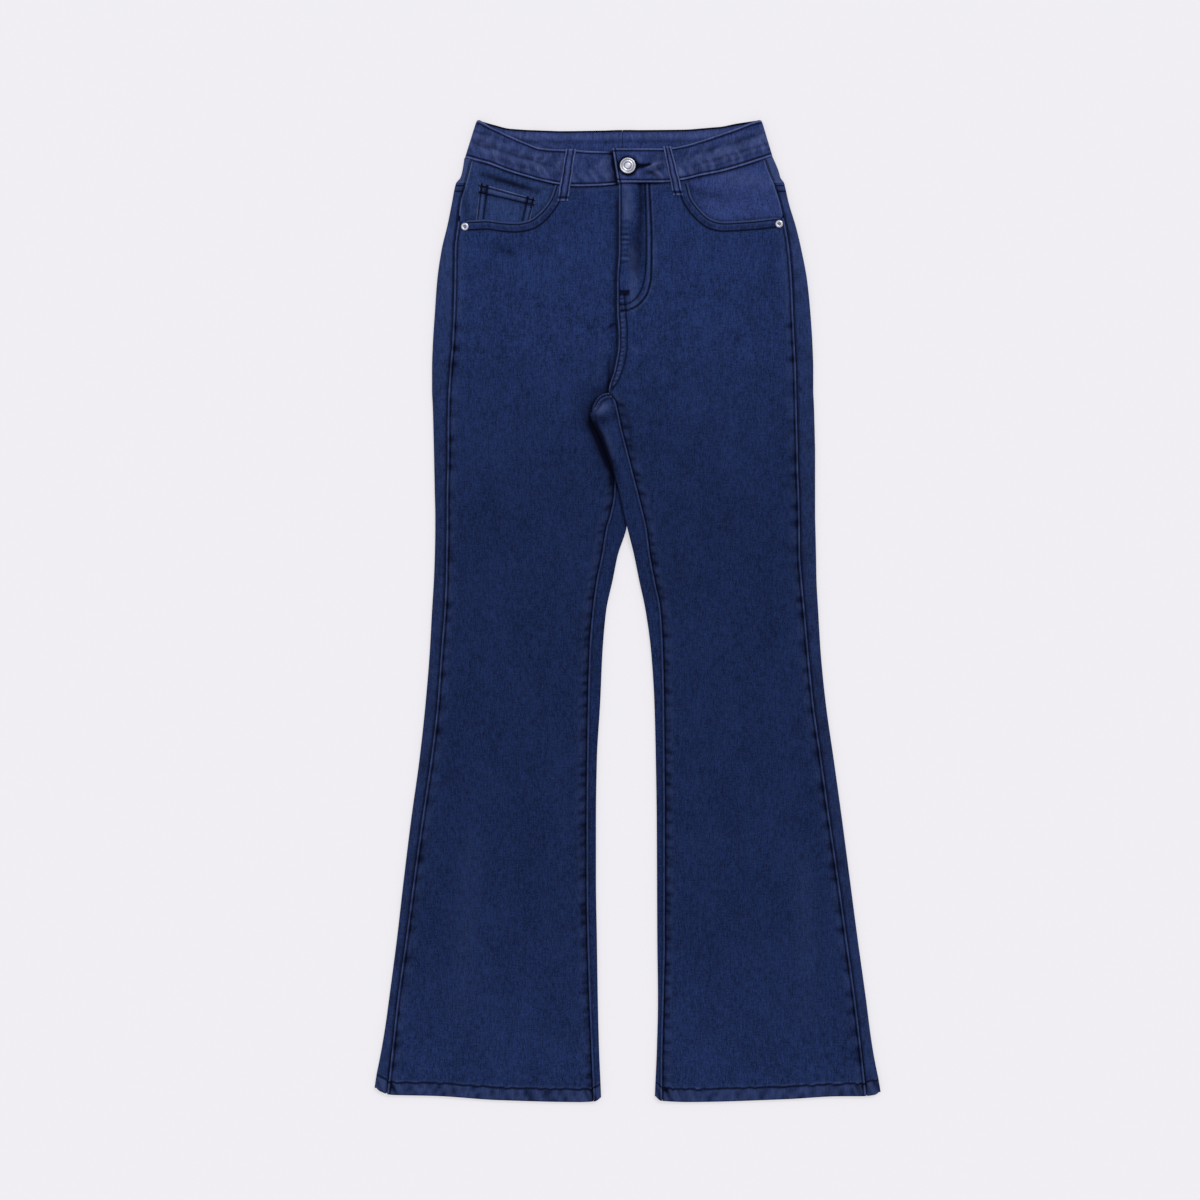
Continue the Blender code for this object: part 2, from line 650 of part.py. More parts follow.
FRONT_SHARES = (0.0, 0.05, 0.11, 0.19, 0.28, 0.38, 0.48, 0.58, 0.68, 0.78, 0.87, 0.94, 1.0)


def front_point(side, share, y):
    """The outer face of a front panel, with share 0 at the outseam and 1 at the centre front or inseam."""
    out = OUTWARD[side]
    start = EDGE[side]["outseam"](y) - out * SEAM_GAP / 2
    end = EDGE[side]["inseam"](y) + out * SEAM_GAP / 2
    if side == "right":
        end += UNDERLAP_WIDTH * smooth(UNDERLAP_BOTTOM_Y - 1.0, UNDERLAP_BOTTOM_Y + 1.0, y)
    x = start + (end - start) * share
    return x, y, front_top(side, x, y)


def front_panel(side, collection, cutters):
    """Half of the front, with its pocket's opening cut out."""
    rows = []
    for y in SECTIONS:
        row = []
        for share in FRONT_SHARES:
            moved = y
            for _ in range(3):
                x = front_point(side, share, moved)[0]
                waist = FRONT_WAIST[side](x) - SEAM_GAP - SEAM_EASE - WAIST_Y
                moved = at_hem(side, x, y) + waist * smooth(*WAIST_LINE_FADE, y)
            row.append(front_point(side, share, moved))
        rows.append(row)
    obj = cloth(f"front_{side}", rows, "denim", collection, flip=not flips(side), thick_rows=(-1, -2))
    first, last = OPENING_EDGE[side][0], OPENING_EDGE[side][-1]
    beyond = last[0] + OUTWARD[side] * OPENING_PAST_SIDE
    outline = ((first[0], OPENING_TOP_Y), *OPENING_EDGE[side], (beyond, last[1]), (beyond, OPENING_TOP_Y))
    cut_away(obj, prism(f"opening_cutter_{side}", outline, CLEAR_BELOW, CLEAR_ABOVE, cutters))


def pocket_facing(side, collection):
    """The piece that shows in a front pocket's opening and carries on under the front."""
    out = OUTWARD[side]
    rows = []
    for down in (0.0, 0.22, 0.42, 0.55, 0.68, 1.0):
        row = []
        for across in (0.0, 0.05, 0.12, 0.25, 0.4, 0.55, 0.7, 0.85, 1.0):
            y = WAIST_Y
            for _ in range(3):
                start = EDGE[side]["outseam"](y) - out * SEAM_GAP / 2
                if y < FACING_TUCK_Y:
                    start -= out * FACING_TUCK
                end = OPENING_EDGE[side][0][0] - out * FACING_PAST_EDGE
                x = start + (end - start) * across
                upper = FRONT_WAIST[side](x) - SEAM_GAP - SEAM_EASE
                y = upper + (FACING_DEPTH_Y - upper) * down
            row.append((x, y, facing_top(side, x, y)))
        rows.append(row)
    cloth(f"pocket_facing_{side}", rows, "facing", collection, flip=not flips(side))


def coin_pocket(collection):
    """The small pocket on the right facing, whose foot goes in under the front."""
    upper_out, upper_in, lower_in, lower_out = (np.array(c) for c in COIN_CORNERS)
    rows = []
    for down in (0.0, 0.25, 0.5, 0.75, 1.0):
        row = []
        for across in (0.0, 0.2, 0.5, 0.8, 1.0):
            start = upper_out + (lower_out - upper_out) * down
            end = upper_in + (lower_in - upper_in) * down
            x, y = start + (end - start) * across
            row.append((x, y, facing_top("right", x, y) + SEAM_GAP + COIN_WALL))
        rows.append(row)
    cloth("coin_pocket", rows, "denim", collection, wall=COIN_WALL, flip=True)


def down_station(station, down):
    """The point (x, y) a share of the way down the waistband at one of its stations."""
    top_x, top_y, bottom_x, bottom_y = station
    return top_x + (bottom_x - top_x) * down, top_y + (bottom_y - top_y) * down


def waistband(side, collection, cutters):
    """Half of the band: round the side from its front end to the centre back."""
    rows = []
    for down in (0.0, 0.5, 1.0):
        row = []
        for station in BAND_FRONT[side]:
            x, y = down_station(station, down)
            row.append((x, y, band_top(side, x)))
        edge_x, edge_y = down_station(BAND_SIDE[side], down)
        for x, z in half_turn(edge_x, 0.0, BAND_TOP + BAND_SIDE_PUFF, OUTWARD[side], rising=False):
            row.append((x, edge_y - abs(x - edge_x) * BAND_SIDE_SLOPE, z))
        stations = [down_station(s, down) for s in (BAND_SIDE[side],) + BAND_BACK[side]]
        height = curve_through(stations)
        for x in [*yoke_columns(side), stations[-1][0]]:
            row.append((x, height(x), recess(x, BACK_LOOP_TOP_Y)))
        rows.append(row)
    obj = cloth(f"waistband_{side}", rows, "band", collection, wall=BAND_WALL, flip=flips(side))
    if side == "left":
        start = BUTTON_X - SHANK_DIAMETER / 2 - SEAM_GAP
        end = start + BUTTONHOLE_LENGTH
        low = BUTTON_Y - BUTTONHOLE_WIDTH / 2
        high = BUTTON_Y + BUTTONHOLE_WIDTH / 2
        outline = ((start, low), (end, low), (end, high), (start, high))
        cut_away(obj, prism("buttonhole_cutter", outline, BUTTONHOLE_FROM, BUTTONHOLE_TO, cutters))


def loop_height(side, x, y, band_edge):
    """A front loop's underside: over the waistband, and down on the front below it."""
    on_band = smooth(*LOOP_DIP, y - band_edge)
    return band_top(side, x) * on_band + front_top(side, x, y) * (1 - on_band) + SEAM_GAP


def front_loop(side, collection):
    """A belt loop over the front waistband, sewn down below it."""
    loop = dict(zip(LOOP_COLUMNS, FRONT_LOOPS[side]))
    band_edge = FRONT_WAIST[side](loop["bottom_x"])
    rows = []
    for down in (0.0, 0.3, 0.58, 0.64, 0.7, 0.77, 0.86, 1.0):
        y = loop["top_y"] + (loop["bottom_y"] - loop["top_y"]) * down
        middle = loop["top_x"] + (loop["bottom_x"] - loop["top_x"]) * down
        across = [middle + loop["width"] * share for share in (-0.5, 0.0, 0.5)]
        height = max(loop_height(side, x, y, band_edge) for x in across) + LOOP_WALL
        rows.append([(across[0], y, height), (across[-1], y, height)])
    cloth(f"belt_loop_front_{side}", rows, "band", collection, wall=LOOP_WALL, flip=True)


def back_loop(name, collection):
    """A loop under the back waistband, flat on the table."""
    x = BACK_LOOP_X[name]
    half = BACK_LOOP_WIDTH / 2
    ys = np.linspace(BACK_LOOP_TOP_Y, BACK_LOOP_BOTTOM_Y, 4)
    rows = [[(x - half, y, 0.0), (x + half, y, 0.0)] for y in ys]
    cloth(f"belt_loop_{name}", rows, "band", collection, wall=LOOP_WALL)


def back_pocket(side, collection):
    """A pocket on the seat, pressed flat between the garment and the table."""
    x = BACK_POCKET_X[side]
    rows = []
    for down in (0.0, 0.5, 1.0):
        half = (BACK_POCKET_WIDTH["top"] * (1 - down) + BACK_POCKET_WIDTH["bottom"] * down) / 2
        y = BACK_POCKET_TOP_Y - BACK_POCKET_SIDE * down
        tip = BACK_POCKET_POINT - BACK_POCKET_SIDE if down == 1.0 else 0.0
        rows.append([(x - half, y, 0.0), (x, y - tip, 0.0), (x + half, y, 0.0)])
    cloth(f"back_pocket_{side}", rows, "denim", collection, wall=BACK_POCKET_WALL)


def fly_zip(collection):
    """The closed zip under the fly's lap: a plain strip that follows the left front."""
    rows = []
    for y in np.linspace(ZIP_TOP_Y, FLY_BOTTOM_Y + FLY_CURVE + ZIP_SIDE, 6):
        start = EDGE["right"]["inseam"](y) + UNDERLAP_WIDTH + ZIP_SIDE
        row = []
        for share in (0.0, 0.5, 1.0):
            x = start + ZIP_WIDTH * share
            row.append((x, y, front_top("left", x, y) - WALL - SEAM_GAP - SEAM_EASE))
        rows.append(row)
    cloth("fly_zip", rows, "zip", collection, wall=ZIP_WALL, flip=True)


def turned(name, profile, x, y, z, steps, collection, tilt=(0.0, 0.0)):
    """A turned metal piece: (radius, height) down its outer side, from the axis to the axis."""
    mesh = bpy.data.meshes.new(name)
    edges = [(i, i + 1) for i in range(len(profile) - 1)]
    mesh.from_pydata([(r * MM, 0.0, h * MM) for r, h in profile], edges, [])
    obj = new_object(name, mesh, "nickel", collection)
    obj.location = (x * MM, y * MM, z * MM)
    obj.rotation_euler = (tilt[0], tilt[1], 0.0)
    screw = obj.modifiers.new("Turn", "SCREW")
    screw.axis = "Z"
    screw.steps = steps
    screw.render_steps = steps
    screw.use_merge_vertices = True
    screw.merge_threshold = 0.00001
    screw.use_smooth_shade = True


def button(collection):
    """A tack button: a domed head with two plain rings, and a shank through the buttonhole."""
    head = BUTTON_DIAMETER / 2
    shank = SHANK_DIAMETER / 2
    seat = band_top("left", BUTTON_X) + SEAM_GAP
    foot = band_top("right", BUTTON_X) + SEAM_GAP - seat
    profile = (
        (0.0, 2.3), (1.6, 2.2), (2.2, 1.75), (3.4, 1.75), (3.9, 2.1), (5.0, 2.1), (5.5, 1.7), (6.6, 1.7),
        (7.2, 2.05), (8.0, 1.8), (head, 1.1), (8.3, 0.35), (7.6, 0.0), (shank, 0.0), (shank, foot), (0.0, foot),
    )
    turned("button", profile, BUTTON_X, BUTTON_Y, seat, 32, collection)


def rivet(side, collection):
    """A rivet at the outer end of a front pocket's opening, tilted with the cloth."""
    x, y = RIVETS[side]
    rim = RIVET_DIAMETER / 2
    profile = (
        (0.0, 0.95), (0.9, 0.75), (1.4, 0.5), (1.9, 0.9), (2.5, 1.35), (3.3, 1.2), (rim, 0.45),
        (rim - 0.3, 0.0), (0.0, 0.0),
    )
    slope_x = (front_top(side, x + rim, y) - front_top(side, x - rim, y)) / (2 * rim)
    slope_y = (front_top(side, x, y + rim) - front_top(side, x, y - rim)) / (2 * rim)
    seat = front_top(side, x, y) + SEAM_GAP + SEAM_EASE
    tilt = (math.atan(slope_y), -math.atan(slope_x))
    turned(f"rivet_{side}", profile, x, y, seat, 20, collection, tilt)


def main():
    for obj in list(bpy.data.objects):
        bpy.data.objects.remove(obj)
    scene = bpy.context.scene.collection
    jeans = bpy.data.collections.new("Jeans")
    cutters = bpy.data.collections.new("Cutters")
    scene.children.link(jeans)
    scene.children.link(cutters)
    for side in OUTWARD:
        back_panel(side, jeans)
        yoke(side, jeans)
        front_panel(side, jeans, cutters)
        pocket_facing(side, jeans)
        waistband(side, jeans, cutters)
        front_loop(side, jeans)
        back_pocket(side, jeans)
        rivet(side, jeans)
    for name in BACK_LOOP_X:
        back_loop(name, jeans)
    coin_pocket(jeans)
    fly_zip(jeans)
    button(jeans)


main()
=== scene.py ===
"""Dresses a pair of flared jeans that lie flat, buttoned, with the front up.

Lengths are in millimetres until a mesh is made. +Y points at the waist, +X at the wearer's left and +Z up.
Each cloth piece is a thin shell on the form of its solid, with the seams' rolled edges, the puckers that the
sewing draws up, the main creases and every row of stitching. Left and right are the wearer's.
"""

import logging
import math
from dataclasses import dataclass, field
from enum import StrEnum
from typing import Any, Optional, Sequence

import bmesh
import bpy
import numpy as np
from mathutils import Matrix, Vector
from mathutils.bvhtree import BVHTree


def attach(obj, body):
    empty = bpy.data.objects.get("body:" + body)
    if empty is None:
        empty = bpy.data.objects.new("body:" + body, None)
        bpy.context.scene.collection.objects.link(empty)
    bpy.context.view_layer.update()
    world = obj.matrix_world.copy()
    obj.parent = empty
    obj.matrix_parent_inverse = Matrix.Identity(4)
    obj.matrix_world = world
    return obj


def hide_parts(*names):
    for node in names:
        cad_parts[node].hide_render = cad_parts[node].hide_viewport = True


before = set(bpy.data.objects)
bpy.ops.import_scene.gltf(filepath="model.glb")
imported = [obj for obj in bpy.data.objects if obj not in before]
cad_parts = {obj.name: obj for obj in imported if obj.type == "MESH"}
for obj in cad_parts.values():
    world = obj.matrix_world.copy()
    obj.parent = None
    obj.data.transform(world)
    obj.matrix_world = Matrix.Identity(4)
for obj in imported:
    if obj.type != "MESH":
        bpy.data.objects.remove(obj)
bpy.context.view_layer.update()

LOG = logging.getLogger("jeans")
MM = 0.001
Array = np.ndarray
Path = list[tuple[float, float]]

# Cloth and the gaps between its layers.
WALL = 1.0
BAND_WALL = 2.0
SEAM_GAP = 0.3
LAYER_GAP = 0.35
STEP_OVER = WALL + SEAM_GAP

# Heights of the top layer over the table.
HIP_LIFT = 2.6
HEM_LIFT = 1.2
HEM_FOLD_LIFT = 0.6
FOLD_PUFF = {"leg": 2, "hip": 1.3, "hem": 1.3, "pressed": 1, "flap": 1.6}
PUFF_REACH = 22.0
FOLD_FLAT_FROM = 2.2
BAND_TOP = 5.6
BAND_SIDE_PUFF = 0.8
BAND_SIDE_SLOPE = 0.3

# Heights up the garment, from hem to waist.
WAIST_Y = 492.0
YOKE_SIDE_Y = 461.0
YOKE_DROP = 26.0
CROTCH_Y = 237.0
FORK_Y = 214.0
HEM_Y = -530.0
HEM_HEIGHT = 13.0
HEM_STITCH_Y = HEM_Y + HEM_HEIGHT
CENTRE_BACK_X = -6.0

# One row for each section across a leg. Above the fork the inseam column is the centre front edge and
# the inner column is the centre back seam. Below it, inner is the fold of the inner thigh.
LEG_COLUMNS = ("y", "outer", "outseam", "inseam", "inner")
LEG_ROWS = {
    "right": (
        (492, -176, -167, -10.5, -6),
        (476, -178.4, -171, -10.5, -6),
        (467, -180.9, -173.4, -10.3, -6),
        (461.5, -185.4, -174.9, -10.2, -6),
        (457, -186.8, -176, -10, -6),
        (440, -190, -181, -10, -6),
        (415, -195, -184, -10, -7),
        (390, -201, -187, -10, -7),
        (355, -206, -187.5, -12, -7),
        (320, -208.5, -188.5, -11.9, -8),
        (306, -209.5, -189.2, -10.6, -8.5),
        (290, -210.5, -190, -10.3, -9),
        (260, -211.5, -192.5, -14.8, -13),
        (237, -211.5, -194, -21.5, -20),
        (226, -211, -194.5, -25.5, -22),
        (214, -210.5, -194.8, -28, -20),
        (195, -210, -195, -25, -15),
        (174, -209.5, -195, -21, -9),
        (150, -209, -195.3, -14.5, -2.5),
        (125, -208.5, -196, -15.5, 1),
        (103, -208, -196, -19.5, 0),
        (90, -208, -196, -23.5, -1.5),
        (60, -208.5, -196.5, -28.5, -11),
        (33, -209.5, -197, -34, -16.5),
        (0, -211.5, -198.5, -38.5, -23.5),
        (-45, -214, -202, -42, -27.5),
        (-100, -218.5, -206, -43.5, -30),
        (-160, -225, -213, -44.5, -33.5),
        (-225, -234, -222.5, -45, -34.5),
        (-290, -242, -231.5, -45, -34.5),
        (-355, -249.5, -240, -44, -33.5),
        (-420, -258, -249, -42, -32.5),
        (-480, -266, -255.5, -39.5, -31),
        (-517, -271.5, -259.5, -38, -29.5),
    ),
    "left": (
        (492, 155, 145.5, -10.5, -6),
        (474, 162.6, 151.6, -10.5, -6),
        (467, 164.6, 154.6, -10.3, -6),
        (461.5, 168.4, 157, -10.2, -6),
        (457, 169.6, 158.5, -10, -6),
        (440, 173.5, 164, -10, -6),
        (415, 181, 170, -10, -7),
        (390, 187, 174, -10, -7),
        (355, 193.5, 177, -12, -7),
        (320, 197, 178.5, -11.9, -8),
        (306, 198, 179.2, -10.6, -8.5),
        (290, 199, 180, -10.3, -9),
        (260, 200, 181.5, -14.8, -13),
        (237, 200, 182, -21, -20),
        (226, 200.5, 182.2, -13.5, -31),
        (214, 201, 182.5, -10.5, -40.8),
        (205, 201.2, 182.7, -8.5, -39.2),
        (195, 201.5, 183, -6.5, -33.6),
        (185, 201.7, 183.2, -3.9, -28.8),
        (174, 202, 183.5, -1, -24.6),
        (150, 202, 184, 5, -16.2),
        (125, 202, 185, 11.5, -8.6),
        (103, 202, 185.5, 17, -4),
        (90, 202.3, 185.7, 20, -1),
        (60, 203, 186, 24, 6.5),
        (33, 203.5, 188, 29, 12),
        (0, 205.3, 191, 35.5, 19),
        (-45, 208, 195, 38, 25),
        (-100, 213.5, 200.5, 39.2, 28.5),
        (-160, 222, 209, 39.7, 30),
        (-225, 231, 218, 40, 31),
        (-290, 239.5, 227.5, 40, 31.3),
        (-355, 248, 236.5, 40, 31.6),
        (-420, 257, 245.5, 38.7, 32.3),
        (-480, 264.5, 252.7, 37.3, 31),
        (-517, 270.5, 256.5, 37, 29.5),
    ),
}

# The hem's lower edge, from the outer fold to the inner one.
HEM_COLUMNS = ("share", "y")
HEM_ROWS = {
    "right": ((0, -514.5), (0.015, -518), (0.07, -522.2), (0.27, -523.5), (0.55, -528), (0.9, -530),
              (0.975, -529), (1, -525)),
    "left": ((0, -519), (0.015, -521.8), (0.07, -523.6), (0.18, -523.8), (0.42, -527), (0.85, -530),
             (0.975, -528.4), (1, -523.5)),
}

# Stations along the waistband, from the centre front to the side and on to the centre back.
BAND_COLUMNS = ("top_x", "top_y", "bottom_x", "bottom_y")
BAND_FRONT = {
    "right": (
        (24, 495.5, 24, 462),
        (-8, 495.5, -8.5, 461),
        (-14, 495.5, -12.5, 459.7),
        (-41, 496, -35, 458),
        (-60, 497.5, -57, 457.5),
        (-80, 498, -73, 459.4),
        (-95, 499.5, -88, 462.3),
        (-112, 505.5, -107, 467.2),
        (-130, 513.5, -126, 472.8),
        (-149, 522.5, -150, 481.6),
    ),
    "left": (
        (-16.9, 498.5, -11.2, 461.8),
        (10, 498.5, 14, 461.5),
        (27, 498.5, 28, 461.5),
        (41, 499, 41, 462),
        (58, 501.5, 59, 464.5),
        (78, 507, 78, 469),
        (97, 513.5, 100, 473.2),
        (117, 520.5, 124, 479.9),
        (131, 526, 140, 484.9),
    ),
}
BAND_SIDE = {"right": (-163, 530, -176, 488.4), "left": (144, 530, 156, 490)}
BAND_BACK = {
    "right": (
        (-144, 524.5, -150, 488),
        (-127, 520.5, -127, 486),
        (-73, 518, -73, 484.5),
        (-6.2, 519, -6.2, 484),
    ),
    "left": (
        (117, 526, 126, 489),
        (99, 522.5, 101, 486.5),
        (56, 519.5, 56, 484.5),
        (-5.8, 519, -5.8, 484),
    ),
}
UNDERLAP_END = 24.0
BAND_LAP = BAND_WALL + SEAM_GAP
BAND_DEPTH = 34.5

# Folds that the button pulls into the band.
BUTTONHOLE_FOLDS = (
    (20, 478, 38, 484, 1.5, -0.8),
    (22, 482.5, 36, 488, 2, 0.5),
    (20, 474, 34, 467.5, 2.4, 0.9),
    (20, 471, 40, 478.5, 1.8, 0.6),
    (24, 476, 36, 469.5, 1.4, -0.5),
    (19, 487, 36, 493, 2.4, 0.45),
    (9, 490, 14, 484, 1.6, -0.35),
    (-6, 470, 7, 470.5, 2.2, 0.35),
)

# Points (x, y) on the pocket openings' edges, from the waistband to the outseam.
OPENING_EDGE = {
    "right": ((-78, 459), (-82.5, 446), (-94, 430), (-107, 420.5), (-121, 418),
              (-137, 419), (-153, 421), (-173, 420)),
    "left": ((64, 461), (67.5, 447), (77, 433), (90, 422), (102, 419),
             (117, 419.5), (132, 420.5), (161, 423.5)),
}

# Coin pocket corners: upper outer, upper inner, lower inner, lower outer.
COIN_CORNERS = ((-160, 461.5), (-99.5, 444.5), (-109, 406), (-166, 406))

# Soft folds in the pocket facings: x and y of both ends, half width, depth and tone, the painted shade of a
# trough or painted highlight of a ridge.
FACING_FOLDS = {
    "right": ((-158, 471, -96, 452, 3.4, 0.5, 2.3), (-178, 452, -173, 424, 5, 0.3, 1.6)),
    "left": ((66, 453, 108, 446, 5, 0.5, 0.9), (100, 470, 150, 462, 8, -0.4, 0.5)),
}
COIN_WALL = 0.8

# Fly: the left front laps the right one.
FLY_WIDTH = 27.0
SEAM_LAP_WIDTH = 14.0
FLY_BOTTOM_Y = 325.0
UNDERLAP_WIDTH = 6.0
UNDERLAP_BOTTOM_Y = 282.0
FLY_OUTER_ROW = ((22.7, 461), (24.4, 430), (25.5, 400), (25, 362), (21.3, 344), (11, 330),
                 (0, 324.5), (-7.5, 324))
FLY_INNER_ROW = ((18.4, 461), (19.3, 430), (19.9, 400), (19.2, 370), (15.8, 350), (7.5, 336),
                 (-1, 331), (-8, 330))
RISE_ROW = ((-3.4, 341), (-2.9, 328), (-1.7, 314), (-0.9, 301.6), (-1.7, 279.5), (-4.4, 265.8), (-8.9, 251),
            (-17, 238.5))

BUTTON_X, BUTTON_Y = -2.0, 482.0
BUTTON_AT = (-0.3, 479.4)
BUTTONHOLE = ((9, BUTTON_Y - 3), (16, BUTTON_Y - 2.6), (23.5, BUTTON_Y - 1.2))
BUTTON_DIAMETER = 17.2
RIVETS = {"right": (-175.8, 414), "left": (163, 417)}
RIVET_DIAMETER = 8.4

# Sewing thread.
STITCH_LENGTH = 3.0
THREAD, BARTACK_THREAD = 0.85, 0.55
TACK_PITCH = 0.75
BARTACKS = "bartacks"

# Rows of stitching, by their distance from the edge that they follow.
POCKET_ROWS = (2.0, 9.6)
COIN_ROWS = {"top": (2.9, 9.4), "side": (2.3, 8.2)}
LOOP_ROW = 2.6
BACK_POCKET_ROWS = (2.4, 8.0)
MOUTH_ROW = 11.0

# How far puckers reach along the hems and along the waistband.
HEM_REACH = (-290.0, 290.0)
BAND_REACH = (-190.0, 190.0)

# Rounds in which a piece's columns and its upper edge are fitted to each other.
FITTINGS = 4

# Belt loops on the front: upper end, lower end, width.
FRONT_LOOPS = {"right": (-61.5, 497.8, -70.4, 441.8, 12), "left": (42.2, 500.6, 54.1, 448, 11)}
LOOP_TAPER = {"right": 0.06, "left": 0.22}
LOOP_LENGTH = 55.0
LOOP_WALL = 1.1
BACK_LOOP_X = {"back": CENTRE_BACK_X, "side_right": -92, "side_left": 84}
BACK_LOOP_TOP_Y, BACK_LOOP_BOTTOM_Y, BACK_LOOP_WIDTH = 518.0, 474.0, 12.0

# Back pockets, under the garment.
BACK_POCKET_WALL = 0.9
BACK_POCKET_TOP_Y = 402.0
BACK_POCKET_SIDE = 108.0
BACK_POCKET_POINT = 128.0
BACK_POCKET_WIDTH = {"top": 124, "bottom": 104}
BACK_POCKET_X = {"right": -98, "left": 88}
# Half the width, and the heights down from the mouth and up from the foot, as the pocket's rows count them.
POCKET_HALF, POCKET_MOUTH, POCKET_FOOT = 57.0, 112.0, 116.0
RECESS_EDGE = 12.0


class Side(StrEnum):
    """The wearer's right and left."""

    RIGHT = "right"
    LEFT = "left"

    def pick(self, right: Any, left: Any) -> Any:
        """One value for the right side, the other for the left."""
        return right if self is Side.RIGHT else left

    @property
    def out(self) -> float:
        """The sign of X from the garment's middle to this side."""
        return self.pick(-1.0, 1.0)


class Slot(StrEnum):
    """The material slots of the garment's pieces."""

    DENIM = "denim"
    WAISTBAND = "waistband"
    ZIP = "zip"
    NICKEL = "nickel"


def smooth(low: Array | float, high: Array | float, value: Array | float) -> Array:
    """0 at low, 1 at high, with soft ends. Low may be above high."""
    share = np.clip((value - low) / (high - low), 0, 1)
    return share * share * (3 - 2 * share)


def window(low: float, high: float, edge: float, value: Array | float) -> Array:
    """1 between low and high, falling to 0 over the edge outside them."""
    return smooth(low - edge, low, value) * smooth(high + edge, high, value)


def bump(centre: float, half: float, value: Array | float) -> Array:
    """A soft hill of height 1 at the centre."""
    return np.exp(-(((value - centre) / half) ** 2))


def waver(x: Array, y: Array, seed: float) -> Array:
    """A slow uneven wave between -1 and 1, for what no machine sews quite evenly."""
    waves = ((0.23, 0.11, 1.7), (0.09, -0.29, 2.9), (0.47, 0.53, 4.3))
    return sum(np.sin(across * x + along * y + phase * seed) for across, along, phase in waves) / 3


def spaced(*runs: tuple[float, float, float]) -> Array:
    """Places from runs of (start, end, step), joined, each run beginning where the last one ended."""
    places = [np.array([runs[0][0]])]
    for start, end, step in runs:
        places.append(np.linspace(start, end, max(1, round(abs(end - start) / step)) + 1)[1:])
    return np.concatenate(places)


class Curve:
    """A smooth curve through knots, which never swings past one."""

    def __init__(self, knots: Sequence[tuple[float, float]]) -> None:
        """Fits the curve to (place, value) pairs."""
        self.at, self.value = np.array(sorted(knots), float).T
        slope = np.diff(self.value) / np.diff(self.at)
        before, after = slope[:-1], slope[1:]
        same = before * after > 0
        inner = np.where(same, 2 * before * after / np.where(same, before + after, 1), 0)
        self.tangent = np.concatenate([[slope[0]], inner, [slope[-1]]])

    def __call__(self, place: Array | float) -> Array:
        """The curve's value at each place, straight on beyond its ends."""
        place = np.asarray(place, float)
        i = np.clip(np.searchsorted(self.at, place) - 1, 0, len(self.at) - 2)
        width = self.at[i + 1] - self.at[i]
        t = (place - self.at[i]) / width
        start = self.value[i] * (1 + 2 * t) * (1 - t) ** 2 + self.tangent[i] * width * t * (1 - t) ** 2
        end = self.value[i + 1] * t * t * (3 - 2 * t) + self.tangent[i + 1] * width * t * t * (t - 1)
        below, above = (self.value[k] + self.tangent[k] * (place - self.at[k]) for k in (0, -1))
        return np.where(place < self.at[0], below, np.where(place > self.at[-1], above, start + end))


def column_of(rows: Sequence, columns: Sequence[str], key: str, column: str) -> Curve:
    """One column of a table as a smooth function of another."""
    at, value = columns.index(key), columns.index(column)
    return Curve([(row[at], row[value]) for row in rows])


def smooth_path(points: Sequence[tuple[float, float]], step: float = 1.5) -> Path:
    """A smooth line through points, cut into even steps.

    Args:
        points: (x, y) places that the line passes through.
        step: The length of a step.

    Returns:
        The (x, y) points along the line.
    """
    reach = [0.0]
    for (ax, ay), (bx, by) in zip(points, points[1:]):
        reach.append(reach[-1] + math.hypot(bx - ax, by - ay))
    xs, ys = (Curve([(r, p[i]) for r, p in zip(reach, points)]) for i in (0, 1))
    at = np.linspace(0, reach[-1], max(2, round(reach[-1] / step) + 1))
    return list(zip(xs(at).tolist(), ys(at).tolist()))


def distance_to(path: Path, x: Array, y: Array) -> Array:
    """How far each point is from a line of straight steps."""
    best = np.full(np.shape(x), np.inf)
    for (ax, ay), (bx, by) in zip(path, path[1:]):
        dx, dy = bx - ax, by - ay
        t = np.clip(((x - ax) * dx + (y - ay) * dy) / (dx * dx + dy * dy), 0, 1)
        best = np.minimum(best, np.hypot(x - ax - t * dx, y - ay - t * dy))
    return best


def beside(path: Path, offset: float) -> Path:
    """The line that runs beside another one, to its left for a positive offset."""
    line = np.array(path)
    along = np.gradient(line, axis=0)
    along /= np.linalg.norm(along, axis=1)[:, None]
    return [(float(x), float(y)) for x, y in line + offset * np.stack([-along[:, 1], along[:, 0]], axis=1)]


